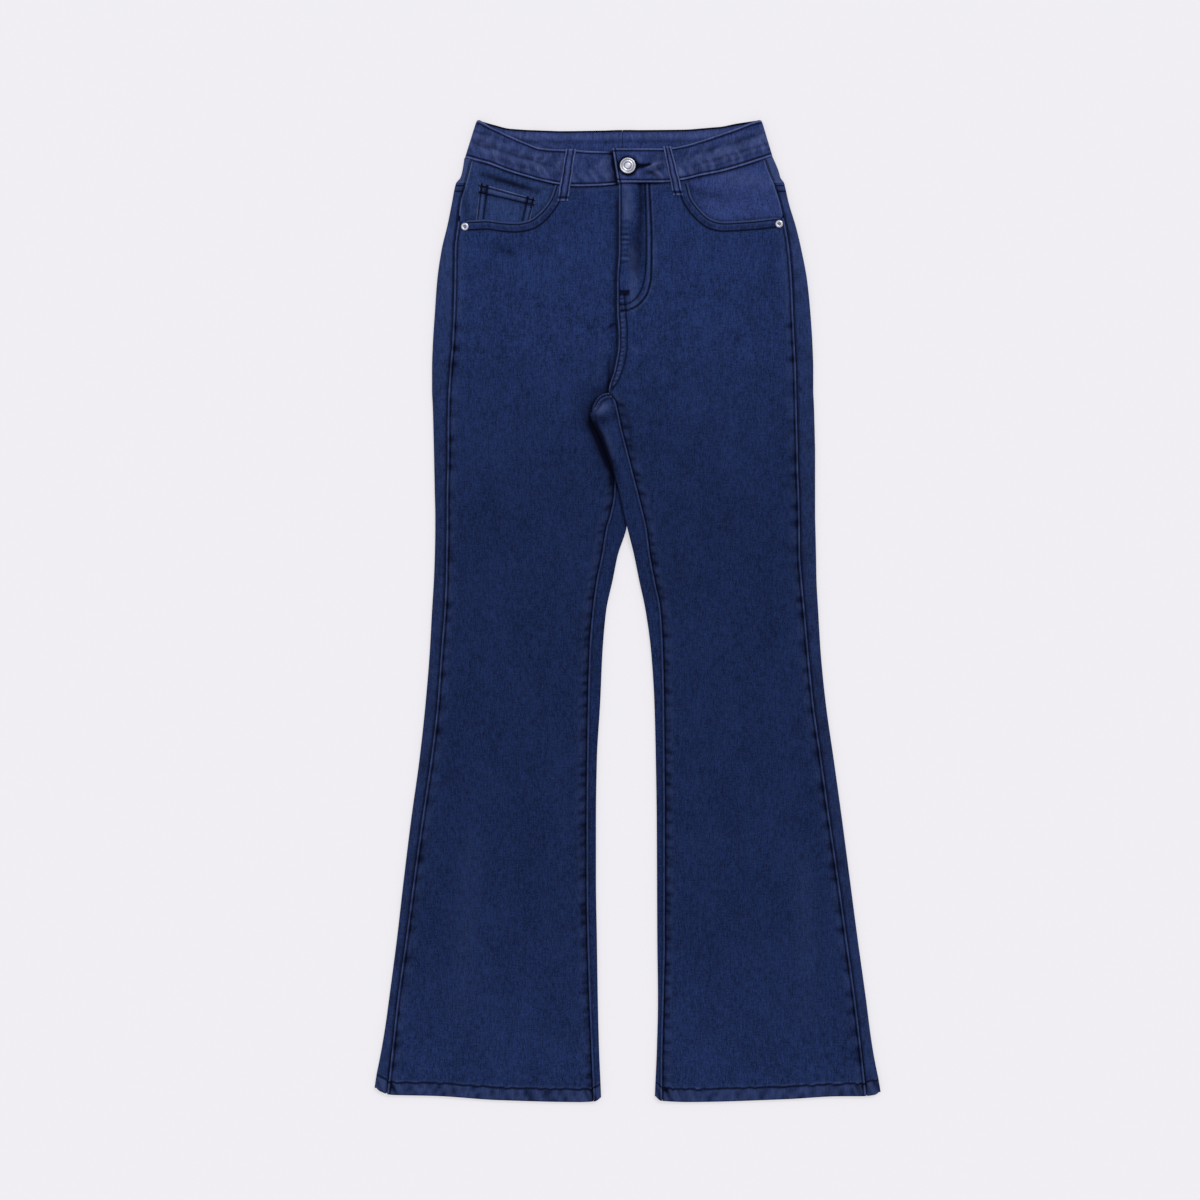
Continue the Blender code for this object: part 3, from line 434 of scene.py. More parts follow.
class Form:
    """The shape of the garment as it lies: its outline, and the heights of its layers."""

    def __init__(self) -> None:
        """Makes the outline's curves from the tables."""
        self.lines = {(side, name): column_of(LEG_ROWS[side], LEG_COLUMNS, "y", name)
                      for side in Side for name in LEG_COLUMNS[1:]}
        self.hem_edge = {side: column_of(HEM_ROWS[side], HEM_COLUMNS, "share", "y") for side in Side}
        self.front_waist, self.back_waist = (
            {side: column_of((*rows[side], BAND_SIDE[side]), BAND_COLUMNS, "bottom_x", "bottom_y")
             for side in Side} for rows in (BAND_FRONT, BAND_BACK))

    def edge(self, side: Side, line: str, y: Array | float) -> Array:
        """The X of one of a leg's lines at a height up the garment."""
        return self.lines[side, line](y)

    def hem_line(self, side: Side, x: Array) -> Array:
        """The height up the garment of the hem's lower edge at x."""
        outer, inner = (self.edge(side, line, HEM_STITCH_Y) for line in ("outer", "inner"))
        return self.hem_edge[side](np.clip((x - outer) / (inner - outer), 0, 1))

    def at_hem(self, side: Side, x: Array, y: Array) -> Array:
        """The height y moved so that the lowest rows follow the hem."""
        return y + (self.hem_line(side, x) - HEM_Y) * smooth(HEM_Y + 100, HEM_STITCH_Y, y)

    def hip(self, y: Array) -> Array:
        """1 at the hips, where pockets and facings lie between front and back, and 0 on the legs."""
        return smooth(225, 400, y)

    def recess(self, x: Array, y: Array) -> Array:
        """How far the back lies over the table, above its own pockets and belt loops."""
        lift = np.zeros(np.broadcast(x, y).shape)
        pocket = window(BACK_POCKET_TOP_Y - BACK_POCKET_POINT, BACK_POCKET_TOP_Y, RECESS_EDGE, y)
        loop = smooth(BACK_LOOP_BOTTOM_Y - 2 * RECESS_EDGE, BACK_LOOP_BOTTOM_Y, y)
        for centres, width, wall, along in (
            (BACK_POCKET_X, BACK_POCKET_WIDTH["top"], BACK_POCKET_WALL, pocket),
            (BACK_LOOP_X, BACK_LOOP_WIDTH, LOOP_WALL, loop),
        ):
            for centre in centres.values():
                across = window(centre - width / 2, centre + width / 2, RECESS_EDGE, x)
                lift = np.maximum(lift, (wall + SEAM_GAP) * across * along)
        return lift

    def crossed(self, x: Array, y: Array) -> Array:
        """1 where the left thigh lies on the right one, and 0 clear of it."""
        past = x - self.edge(Side.RIGHT, "inner", y)
        return smooth(32, 4, past) * smooth(270, 240, y) * smooth(48, 90, y)

    def crossing(self, x: Array, y: Array) -> Array:
        """The height of the left thigh's underside where it lies over the right one."""
        fold = self.edge(Side.RIGHT, "inner", y)
        return self.crossed(x, y) * (self.top(Side.RIGHT, np.minimum(x, fold), y) + 2 * LAYER_GAP)

    def floor(self, side: Side, x: Array, y: Array) -> Array:
        """The height of the lower layer's underside."""
        return self.recess(x, y) + side.pick(0, self.crossing(x, y))

    def underside(self, side: Side, x: Array, y: Array) -> Array:
        """The floor, with the left back on the table above the crotch, where the seat seam joins the two."""
        joined = smooth(FORK_Y + 3, CROTCH_Y - 6, y)
        return self.recess(x, y) + side.pick(0, self.crossing(x, y) * (1 - joined))

    def puff(self, side: Side, x: Array, y: Array) -> Array:
        """How far the cloth near the side folds stands over the middle of the leg."""
        hem, hip = smooth(HEM_Y + 80, HEM_STITCH_Y, y), self.hip(y)
        outer = FOLD_PUFF["leg"] * (1 - hip) * (1 - hem) + FOLD_PUFF["hip"] * hip + FOLD_PUFF["hem"] * hem
        lift = outer * bump(0, PUFF_REACH, x - self.edge(side, "outer", y))
        share = smooth(30, 90, y)
        thigh = FOLD_PUFF[side.pick("pressed", "flap")]
        inner = thigh * share + (1 - share) * (FOLD_PUFF["leg"] * (1 - hem) + FOLD_PUFF["hem"] * hem)
        start = smooth(CROTCH_Y + 8, FORK_Y, y)
        return lift + inner * start * bump(0, PUFF_REACH, x - self.edge(side, "inner", y))

    def top(self, side: Side, x: Array, y: Array) -> Array:
        """The height of the top layer's outer face."""
        hip = self.hip(y)
        base = 2 * WALL + LAYER_GAP + self.recess(x, y) * (1 - hip) + HIP_LIFT * hip
        up = y - self.hem_line(side, x)
        hem = HEM_LIFT * smooth(80, HEM_HEIGHT + 4, up) + HEM_FOLD_LIFT * smooth(15, 12, up)
        over = 0
        if side is Side.LEFT:
            share = self.crossed(x, y)
            over = self.crossing(x, y) + 6 * share * (1 - share)
        return base + hem + self.puff(side, x, y) + over

    def front_top(self, side: Side, x: Array, y: Array) -> Array:
        """The outer face of a front panel: over the coin pocket, and over the right front at the fly."""
        z = self.top(side, x, y)
        if side is Side.RIGHT:
            return z + (COIN_WALL + 2 * SEAM_GAP) * window(-170, -99, 9, x) * window(400, 440, 9, y)
        lap = SEAM_LAP_WIDTH + (FLY_WIDTH - SEAM_LAP_WIDTH) * smooth(FLY_BOTTOM_Y, FLY_BOTTOM_Y + 20, y)
        past = x - self.edge(side, "inseam", np.maximum(y, CROTCH_Y)) - lap
        return z + STEP_OVER * smooth(8, 0, past) * smooth(222, 245, y)

    def facing_top(self, side: Side, x: Array, y: Array) -> Array:
        """The outer face of a pocket facing: under the front, and level with it at the outseam."""
        level = smooth(12, 1, np.abs(x - self.edge(side, "outseam", y))) * smooth(428, 440, y)
        return self.top(side, x, y) - STEP_OVER * (1 - level)

    def band_top(self, side: Side, x: Array) -> Array:
        """The outer face of the front waistband, whose left end laps the right one."""
        lap = side.pick(0, BAND_LAP * smooth(UNDERLAP_END + 20, UNDERLAP_END + 2, x))
        return BAND_TOP + BAND_SIDE_PUFF * bump(0, PUFF_REACH, x - self.edge(side, "outer", WAIST_Y)) + lap

    def yoke_seam(self, side: Side, x: Array) -> Array:
        """The height up the garment of the yoke's lower edge on the underside."""
        side_x = self.edge(side, "outer", YOKE_SIDE_Y)
        return YOKE_SIDE_Y - YOKE_DROP * np.minimum(1, np.abs(x - side_x) / abs(CENTRE_BACK_X - side_x))


class Puckers:
    """Small folds that a row of stitching draws up, uneven in spacing and depth."""

    SPREAD = 0.35

    def __init__(self, seed: int, start: float, end: float, pitch: float) -> None:
        """Places the puckers along a seam.

        Args:
            seed: The seed of the uneven spacing.
            start: Where the seam begins.
            end: Where it ends, past its start.
            pitch: The mean distance between puckers.
        """
        draw = np.random.default_rng(seed)
        count = max(2, int((end - start) / pitch))
        shift = draw.uniform(-self.SPREAD, self.SPREAD, count)
        self.places = start + pitch * (np.arange(count) + 0.5 + shift)
        self.depths = draw.uniform(0.4, 1, count)
        self.halves = pitch * draw.uniform(0.16, 0.3, count)

    def __call__(self, along: Array) -> Array:
        """The depth, from 0 to 1, at each place along the seam."""
        return sum(depth * bump(place, half, along)
                   for place, depth, half in zip(self.places, self.depths, self.halves))


@dataclass
class Grid:
    """Points on a piece's outer face in rows and columns, with its lightening, partly fading and partly
    painted highlight, and its painted shade.

    Up is 1 where the face looks up, -1 where it lies on the table, and between them round a fold.
    """

    x: Array
    y: Array
    z: Array
    up: Array | float = 1.0

    def __post_init__(self) -> None:
        """Starts with no lightening and no painted shade."""
        self.wear, self.shade = np.zeros(self.x.shape), np.zeros(self.x.shape)

    def blank(self) -> "Grid":
        """A flat grid at the same places, to press folds into and take only a part of them."""
        return Grid(self.x, self.y, np.zeros(self.x.shape))

    def move(self, rise: Array) -> None:
        """Moves the face out, or in where the rise is negative. Cloth on the table only moves in."""
        self.z += self.up * np.where(np.asarray(self.up) < 0, np.minimum(rise, 0), rise)

    def edge(self, distance: Array, row: float = 2.7, lift: float = 0.25, light: float = 1,
             on: Array | float = 1) -> None:
        """Rolls an edge down, lightens its crest by fading and a painted highlight, paints shade where it
        rolls under and sinks the row of stitching beside it.

        Args:
            distance: How far each point is from the edge.
            row: How far the stitching is from the edge, or 0 for none.
            lift: How far the crest stands up.
            light: How much the crest is lightened, by fading and a painted highlight together.
            on: 1 where this edge counts, 0 elsewhere.
        """
        uneven = waver(self.x, self.y, row + light)
        inside = np.clip(distance + 0.12 * uneven, 0, 1.3) / 1.3
        self.move(on * (lift * bump(1.2, 1, distance) - 0.75 * (1 - np.sqrt(inside * (2 - inside)))))
        self.wear += on * light * (1 + 0.35 * uneven) * bump(1.1, 0.82, distance)
        self.shade += on * 0.7 * smooth(0.5, 0, distance)
        if row:
            self.stitch(distance - row - 0.12 * uneven, on=on)

    def stitch(self, distance: Array, depth: float = 0.35, half: float = 0.95, dark: float = 1,
               on: Array | float = 1) -> None:
        """Sinks the cloth along a row of stitching, paints shade into the groove and takes most of the
        lightening off it.
        """
        near = on * bump(0, half, distance)
        self.move(-depth * near)
        self.shade += dark * near
        self.wear *= 1 - 0.75 * near

    def fold(self, x1: float, y1: float, x2: float, y2: float, half: float, depth: float,
             tone: float = 0.25) -> None:
        """Presses one soft trough from (x1, y1) to (x2, y2), or raises a ridge where the depth is negative.

        Args:
            x1, y1, x2, y2: The trough's ends.
            half: Its half width.
            depth: Its depth.
            tone: How much painted shade a millimetre of a trough's depth adds, and how much painted highlight
                a ridge gets.
        """
        away = distance_to([(x1, y1), (x2, y2)], self.x, self.y)
        middle = np.hypot(self.x - (x1 + x2) / 2, self.y - (y1 + y2) / 2)
        near = bump(0, half, away) * bump(0, 0.62 * math.hypot(x2 - x1, y2 - y1) + half, middle)
        self.move(-depth * near)
        self.shade += tone * max(0, depth) * near
        self.wear += tone * max(0, -depth) * near


def linked(name: str, data: Any) -> bpy.types.Object:
    """A new object in the scene."""
    obj = bpy.data.objects.new(name, data)
    bpy.context.scene.collection.objects.link(obj)
    return obj


def mesh_of(name: str, points: Sequence, edges: Sequence = (), faces: Sequence = ()) -> bpy.types.Mesh:
    """A new mesh from its points, edges and faces."""
    mesh = bpy.data.meshes.new(name)
    mesh.from_pydata(points, edges, faces)
    return mesh


def modified(obj: bpy.types.Object, kind: str, **settings: Any) -> bpy.types.Object:
    """An object whose mesh has gone through one modifier. Names that it lacks are its tree's sockets."""
    modifier = obj.modifiers.new(kind, kind)
    for key, value in settings.items():
        if hasattr(modifier, key):
            setattr(modifier, key, value)
        else:
            modifier[key] = value
    graph = bpy.context.evaluated_depsgraph_get()
    mesh = bpy.data.meshes.new_from_object(obj.evaluated_get(graph), depsgraph=graph)
    obj.modifiers.clear()
    obj.data = mesh
    return obj


def welded(mesh: bpy.types.Mesh, distance: float, recalculate: bool = False) -> None:
    """Joins a mesh's coinciding points, and turns its faces outward where asked."""
    made = bmesh.new()
    made.from_mesh(mesh)
    bmesh.ops.remove_doubles(made, verts=made.verts, dist=distance)
    if recalculate:
        bmesh.ops.recalc_face_normals(made, faces=made.faces)
    made.to_mesh(mesh)
    made.free()


def paint(mesh: bpy.types.Mesh, label: str, values: Array) -> None:
    """Gives a mesh one value at each point, which its material reads."""
    mesh.attributes.new(label, "FLOAT", "POINT").data.foreach_set("value", values.astype(np.float32))


def shell(name: str, grids: Sequence[Grid], wall: float, finish: bpy.types.Material,
          flip: bool) -> bpy.types.Object:
    """A cloth piece: open surfaces through the grids, given a wall that grows inward.

    Args:
        name: The piece's name.
        grids: The surfaces of its outer face.
        wall: The cloth's thickness.
        finish: Its material.
        flip: Whether the faces turn the other way.

    Returns:
        The closed shell.
    """
    points, faces, base = [], [], 0
    for grid in grids:
        index = base + np.arange(grid.x.size).reshape(grid.x.shape)
        base += grid.x.size
        corners = (index[:-1, :-1], index[:-1, 1:], index[1:, 1:], index[1:, :-1])
        faces.append(np.stack([c.ravel() for c in corners[::-1 if flip else 1]], axis=1))
        points.append(np.stack([grid.x.ravel(), grid.y.ravel(), grid.z.ravel()], axis=1) * MM)
    mesh = mesh_of(name, np.concatenate(points).tolist(), faces=np.concatenate(faces).tolist())
    # Each point's lightening, partly fading and partly painted highlight, and its painted shade.
    for label in ("wear", "shade"):
        paint(mesh, label, np.clip(np.concatenate([getattr(grid, label).ravel() for grid in grids]), 0, 1.5))
    welded(mesh, 1e-6)
    return dress(modified(linked(name, mesh), "SOLIDIFY", thickness=wall * MM, offset=-1), finish)


def dress(obj: bpy.types.Object, finish: bpy.types.Material, angle: float = 50) -> bpy.types.Object:
    """Gives a piece its only material and smooth faces."""
    obj.data.materials.clear()
    obj.data.materials.append(finish)
    obj.data.shade_smooth()
    obj.data.set_sharp_from_angle(angle=math.radians(angle))
    return obj


def place(obj: bpy.types.Object, slot: Slot, *nodes: str) -> bpy.types.Object:
    """Sets a piece on the garment's body and hides the nodes that it stands for."""
    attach(obj, "root")
    if nodes:
        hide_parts(*nodes)
    LOG.info("%s: %d faces, for %s", obj.name, len(obj.data.polygons), ", ".join(nodes) or "itself")
    return obj


class Nodes:
    """A short way to write a node tree."""

    def __init__(self, tree: bpy.types.NodeTree) -> None:
        """Keeps the tree."""
        self.tree = tree

    def add(self, kind: str, inputs: Optional[dict] = None, **settings: Any) -> bpy.types.Node:
        """Adds a node, sets its properties and feeds its inputs, by their names or numbers."""
        node = self.tree.nodes.new(kind)
        for key, value in settings.items():
            setattr(node, key, value)
        self.feed(node, inputs or {})
        return node

    def feed(self, node: bpy.types.Node, inputs: dict) -> None:
        """Links a socket to each input of a node, or sets its value."""
        for key, value in inputs.items():
            if isinstance(value, bpy.types.NodeSocket):
                self.tree.links.new(value, node.inputs[key])
            else:
                node.inputs[key].default_value = value

    def maths(self, operation: str, a: Any, b: Any, clamp: bool = False) -> bpy.types.NodeSocket:
        """One step of arithmetic on two sockets or numbers."""
        return self.add("ShaderNodeMath", {0: a, 1: b}, operation=operation, use_clamp=clamp).outputs[0]

    def mix(self, share: Any, a: Any, b: Any) -> bpy.types.NodeSocket:
        """A mix of two colours."""
        made = self.add("ShaderNodeMix", {0: share, 6: a, 7: b}, data_type="RGBA", clamp_factor=True)
        return made.outputs[2]

    def where(self) -> bpy.types.NodeSocket:
        """The place on the object, in metres."""
        return self.add("ShaderNodeTexCoord").outputs["Object"]

    def painted(self, label: str) -> bpy.types.NodeSocket:
        """What was painted on the mesh's points."""
        return self.add("ShaderNodeAttribute", attribute_name=label).outputs["Fac"]

    def noise(self, where: Any, scale: Sequence[float], detail: float = 2,
              rough: float = 0.5) -> bpy.types.NodeSocket:
        """Noise with its own scale along each axis, from 0 to 1."""
        mapped = self.add("ShaderNodeMapping", {0: where, 3: tuple(scale)}, vector_type="POINT").outputs[0]
        inputs = {"Vector": mapped, "Scale": 1, "Detail": detail, "Roughness": rough}
        return self.add("ShaderNodeTexNoise", inputs).outputs[0]

    def relief(self, strength: float, distance: float, height: Any) -> bpy.types.NodeSocket:
        """The normal of a surface with a fine relief."""
        inputs = {"Strength": strength, "Distance": distance, "Height": height}
        return self.add("ShaderNodeBump", inputs).outputs[0]


def grouped(name: str, inputs: Sequence[tuple[str, str]], output: str) -> tuple[Nodes, Any, dict[str, str]]:
    """Starts a Geometry Nodes tree.

    Args:
        name: The tree's name.
        inputs: The name and kind of each input.
        output: The name of its geometry output.

    Returns:
        The tree's nodes, its inputs' sockets and their identifiers.
    """
    tree = bpy.data.node_groups.new(name, "GeometryNodeTree")
    known = {}
    for label, kind in inputs:
        socket = tree.interface.new_socket(label, in_out="INPUT", socket_type=f"NodeSocket{kind}")
        known[label] = socket.identifier
    tree.interface.new_socket(output, in_out="OUTPUT", socket_type="NodeSocketGeometry")
    nodes = Nodes(tree)
    return nodes, nodes.add("NodeGroupInput").outputs, known


def realized(nodes: Nodes, geometry: bpy.types.NodeSocket, finish: bpy.types.NodeSocket) -> None:
    """Ends a tree: its instances made real, with their material."""
    real = nodes.add("GeometryNodeRealizeInstances", {"Geometry": geometry})
    covered = nodes.add("GeometryNodeSetMaterial", {"Geometry": real.outputs[0], "Material": finish})
    nodes.add("NodeGroupOutput", {0: covered.outputs[0]})


Colour = tuple[float, float, float]
# The near-black that painted shade mixes towards, in ditches, creases, grooves and painted shadows.
PAINTED_SHADE_COLOUR = (0.0008, 0.0016, 0.009, 1.0)


def times(colour: Colour, *shares: float) -> Colour:
    """A colour made darker or lighter, by one share or by one for each channel."""
    return tuple(c * k for c, k in zip(colour, shares * 3 if len(shares) == 1 else shares)) + (1.0,)


@dataclass(frozen=True)
class Finish:
    """A material of the garment."""

    name: str
    colour: Colour

    def build(self) -> bpy.types.Material:
        """Makes the material."""
        material = bpy.data.materials.new(self.name)
        material.use_nodes = True
        nodes = Nodes(material.node_tree)
        nodes.feed(material.node_tree.nodes["Principled BSDF"], self.inputs(nodes, nodes.where()))
        return material

    def inputs(self, nodes: Nodes, where: bpy.types.NodeSocket) -> dict:
        """What the shader is fed with.

        Args:
            nodes: The material's nodes.
            where: The place on the object.

        Returns:
            Values and sockets by the names of the shader's inputs.
        """
        raise NotImplementedError


@dataclass(frozen=True)
class Denim(Finish):
    """Stretch denim: slubby warp over a finer weft, a diagonal twill, fading and a painted highlight on the
    crests, and painted shade in the ditches.

    The warp's noise runs in streaks up the garment and the weft's in shorter ones across it. Patch is how
    much the tone changes over a finger's width. Upper and hem are how much lighter the cloth is at the hips
    and the hems.
    """

    worn: Colour
    contrast: float = 1.0
    patch: float = 1.0
    upper: float = 0.50
    hem: float = 0.22

    def inputs(self, nodes: Nodes, where: bpy.types.NodeSocket) -> dict:
        """The cloth's colour, lightened on its crests by fading and a painted highlight and darkened by
        painted shade in its ditches, and the twill's relief.
        """
        warp = nodes.noise(where, (700, 130, 60), 3, 0.65)
        weft = nodes.noise(where, (120, 700, 60), 2, 0.6)
        blend = 0.5
        for part, weight in (
            (warp, 1.9),
            (nodes.noise(where, (300, 26, 26)), 0.35),
            (weft, 0.7),
            (nodes.noise(where, (800, 600, 400), 2, 0.7), 2.1),
            (nodes.noise(where, (130, 95, 95), 2, 0.55), 0.35 * self.patch),
            (nodes.noise(where, (50, 34, 50), 3, 0.55), 0.4 * self.patch),
            (nodes.noise(where, (16, 10, 16), 3, 0.55), 0.45),
        ):
            swing = nodes.maths("MULTIPLY", nodes.maths("SUBTRACT", part, 0.5), weight * self.contrast)
            blend = nodes.maths("ADD", blend, swing)
        blend = nodes.maths("ADD", blend, 0, clamp=True)
        cloth = nodes.mix(blend, times(self.colour, 0.45), times(self.colour, 1.55))
        cloth = self.lightened(nodes, cloth, where)
        # The crests lighten by fading and a painted highlight, and the ditches darken with painted shade.
        rough = nodes.maths("ADD", nodes.maths("MULTIPLY", warp, 1), 0.35)
        rubbed_and_lit = nodes.maths("MULTIPLY", nodes.painted("wear"), rough, clamp=True)
        cloth = nodes.mix(rubbed_and_lit, cloth, (*self.worn, 1))
        cloth = nodes.mix(nodes.maths("MULTIPLY", nodes.painted("shade"), 0.8, clamp=True), cloth, PAINTED_SHADE_COLOUR)
        turned = nodes.add("ShaderNodeMapping", {0: where, 2: (0, 0, math.radians(-28))}).outputs[0]
        ribs = {"Vector": turned, "Scale": 190, "Distortion": 0.6, "Detail": 1, "Detail Scale": 3}
        twill = nodes.add("ShaderNodeTexWave", ribs).outputs["Fac"]
        height = nodes.maths("ADD", nodes.maths("MULTIPLY", twill, 0.7), nodes.maths("ADD", warp, weft))
        return {"Base Color": cloth, "Normal": nodes.relief(0.6, 0.00018, height), "Roughness": 0.95,
                "Specular IOR Level": 0.06, "Sheen Weight": 0.03, "Sheen Tint": (0.35, 0.45, 0.9, 1)}

    def lightened(self, nodes: Nodes, cloth: bpy.types.NodeSocket,
                  where: bpy.types.NodeSocket) -> bpy.types.NodeSocket:
        """The colour made lighter towards the waist and the hems."""
        up = nodes.add("ShaderNodeSeparateXYZ", {0: where}).outputs["Y"]
        gain = 1
        for low, high, share in ((0.08, 0.40, self.upper), (-0.30, -0.50, self.hem)):
            ramp = nodes.add("ShaderNodeMapRange", {"Value": up, "From Min": low, "From Max": high},
                             interpolation_type="SMOOTHSTEP").outputs[0]
            gain = nodes.maths("ADD", gain, nodes.maths("MULTIPLY", ramp, share))
        return nodes.add("ShaderNodeVectorMath", {0: cloth, "Scale": gain}, operation="SCALE").outputs[0]


@dataclass(frozen=True)
class Thread(Finish):
    """Sewing thread of two twisted plies."""

    def inputs(self, nodes: Nodes, where: bpy.types.NodeSocket) -> dict:
        """The thread's uneven tone and its plies' relief."""
        ply = nodes.noise(where, (1900, 1900, 1900), 2, 0.6)
        return {"Base Color": nodes.mix(ply, times(self.colour, 0.6), times(self.colour, 1.4)),
                "Normal": nodes.relief(0.4, 0.0001, ply), "Roughness": 0.85, "Specular IOR Level": 0.08}


@dataclass(frozen=True)
class Nickel(Finish):
    """Satin nickel, with painted shade in its grooves."""

    roughness: float

    def inputs(self, nodes: Nodes, where: bpy.types.NodeSocket) -> dict:
        """The metal's tone, with painted shade in the grooves, and its cloudy gloss."""
        cloud = nodes.noise(where, (500, 500, 500), 3, 0.6)
        metal = nodes.mix(cloud, times(self.colour, 0.78), times(self.colour, 1))
        rough = nodes.maths("ADD", nodes.maths("MULTIPLY", cloud, 0.2), self.roughness - 0.1)
        return {"Base Color": nodes.mix(nodes.painted("shade"), metal, times(self.colour, 0.12, 0.13, 0.3)),
                "Roughness": rough, "Metallic": 0.85}


@dataclass(frozen=True)
class Plain(Finish):
    """A plain matte surface, for the floor and the zip's tape. Glow is the share that shines by itself."""

    glow: float = 0.0

    def inputs(self, nodes: Nodes, where: bpy.types.NodeSocket) -> dict:
        """The surface's faint weave and its glow."""
        weave = nodes.noise(where, (700, 700, 700))
        low, high = (times(self.colour, k * (1 - self.glow)) for k in (0.985, 1))
        return {"Base Color": nodes.mix(weave, low, high), "Emission Color": (*self.colour, 1),
                "Emission Strength": 1.01 * self.glow, "Roughness": 0.9, "Specular IOR Level": 0.1}


class StitchTool:
    """A Geometry Nodes tree that sets one stitch on every edge of a mesh."""

    INPUTS = (("Rows", "Geometry"), ("Thickness", "Float"), ("Seed", "Int"), ("Thread", "Material"))
    FILL, UNEVENNESS = 0.86, 0.1

    def __init__(self) -> None:
        """Builds the tree."""
        nodes, given, self.sockets = grouped("stitches", self.INPUTS, "Stitches")
        ends = nodes.add("GeometryNodeInputMeshEdgeVertices").outputs
        between = {0: ends["Position 2"], 1: ends["Position 1"]}
        along = nodes.add("ShaderNodeVectorMath", between, operation="SUBTRACT")
        capture = nodes.add("GeometryNodeCaptureAttribute", domain="EDGE")
        capture.capture_items.new("VECTOR", "Along")
        nodes.feed(capture, {"Geometry": given["Rows"], "Along": along.outputs[0]})
        kept = capture.outputs
        spots = nodes.add("GeometryNodeMeshToPoints", {"Mesh": kept["Geometry"]}, mode="EDGES")
        turn = nodes.add("FunctionNodeAlignRotationToVector", {"Vector": kept["Along"]}, axis="X")
        long = nodes.add("ShaderNodeVectorMath", {0: kept["Along"]}, operation="LENGTH").outputs["Value"]
        vary = nodes.add("FunctionNodeRandomValue", {"Seed": given["Seed"], 2: -1, 3: 1}, data_type="FLOAT")
        uneven = nodes.maths("ADD", nodes.maths("MULTIPLY", vary.outputs[1], self.UNEVENNESS), 1)
        wide = nodes.maths("MULTIPLY", given["Thickness"], uneven)
        long = nodes.maths("MULTIPLY", long, self.FILL)
        size = nodes.add("ShaderNodeCombineXYZ", {"X": long, "Y": wide, "Z": wide})
        ball = nodes.add("GeometryNodeMeshUVSphere", {"Segments": 6, "Rings": 5, "Radius": 0.5}).outputs[0]
        lying = nodes.add("GeometryNodeTransform", {"Geometry": ball, "Rotation": (0, math.pi / 2, 0)})
        placed = nodes.add("GeometryNodeInstanceOnPoints", {
            "Points": spots.outputs[0], "Instance": lying.outputs[0],
            "Rotation": turn.outputs[0], "Scale": size.outputs[0],
        })
        realized(nodes, placed.outputs[0], given["Thread"])
        self.tree = nodes.tree

    def sew(self, name: str, edges: list[tuple[Vector, Vector]], thread: bpy.types.Material,
            thickness: float, seed: int) -> bpy.types.Object:
        """Sets a stitch on each edge.

        Args:
            name: The piece's name.
            edges: The two ends of each stitch, in metres.
            thread: The thread's material.
            thickness: The thread's thickness, in millimetres.
            seed: The seed of the thread's unevenness.

        Returns:
            The stitches as one plain mesh.
        """
        points = [p for pair in edges for p in pair]
        obj = linked(name, mesh_of(name, points, [(i, i + 1) for i in range(0, len(points), 2)]))
        given = {"Thickness": thickness * MM, "Seed": seed, "Thread": thread}
        modified(obj, "NODES", node_group=self.tree, **{self.sockets[key]: given[key] for key in given})
        obj.data.shade_smooth()
        return obj


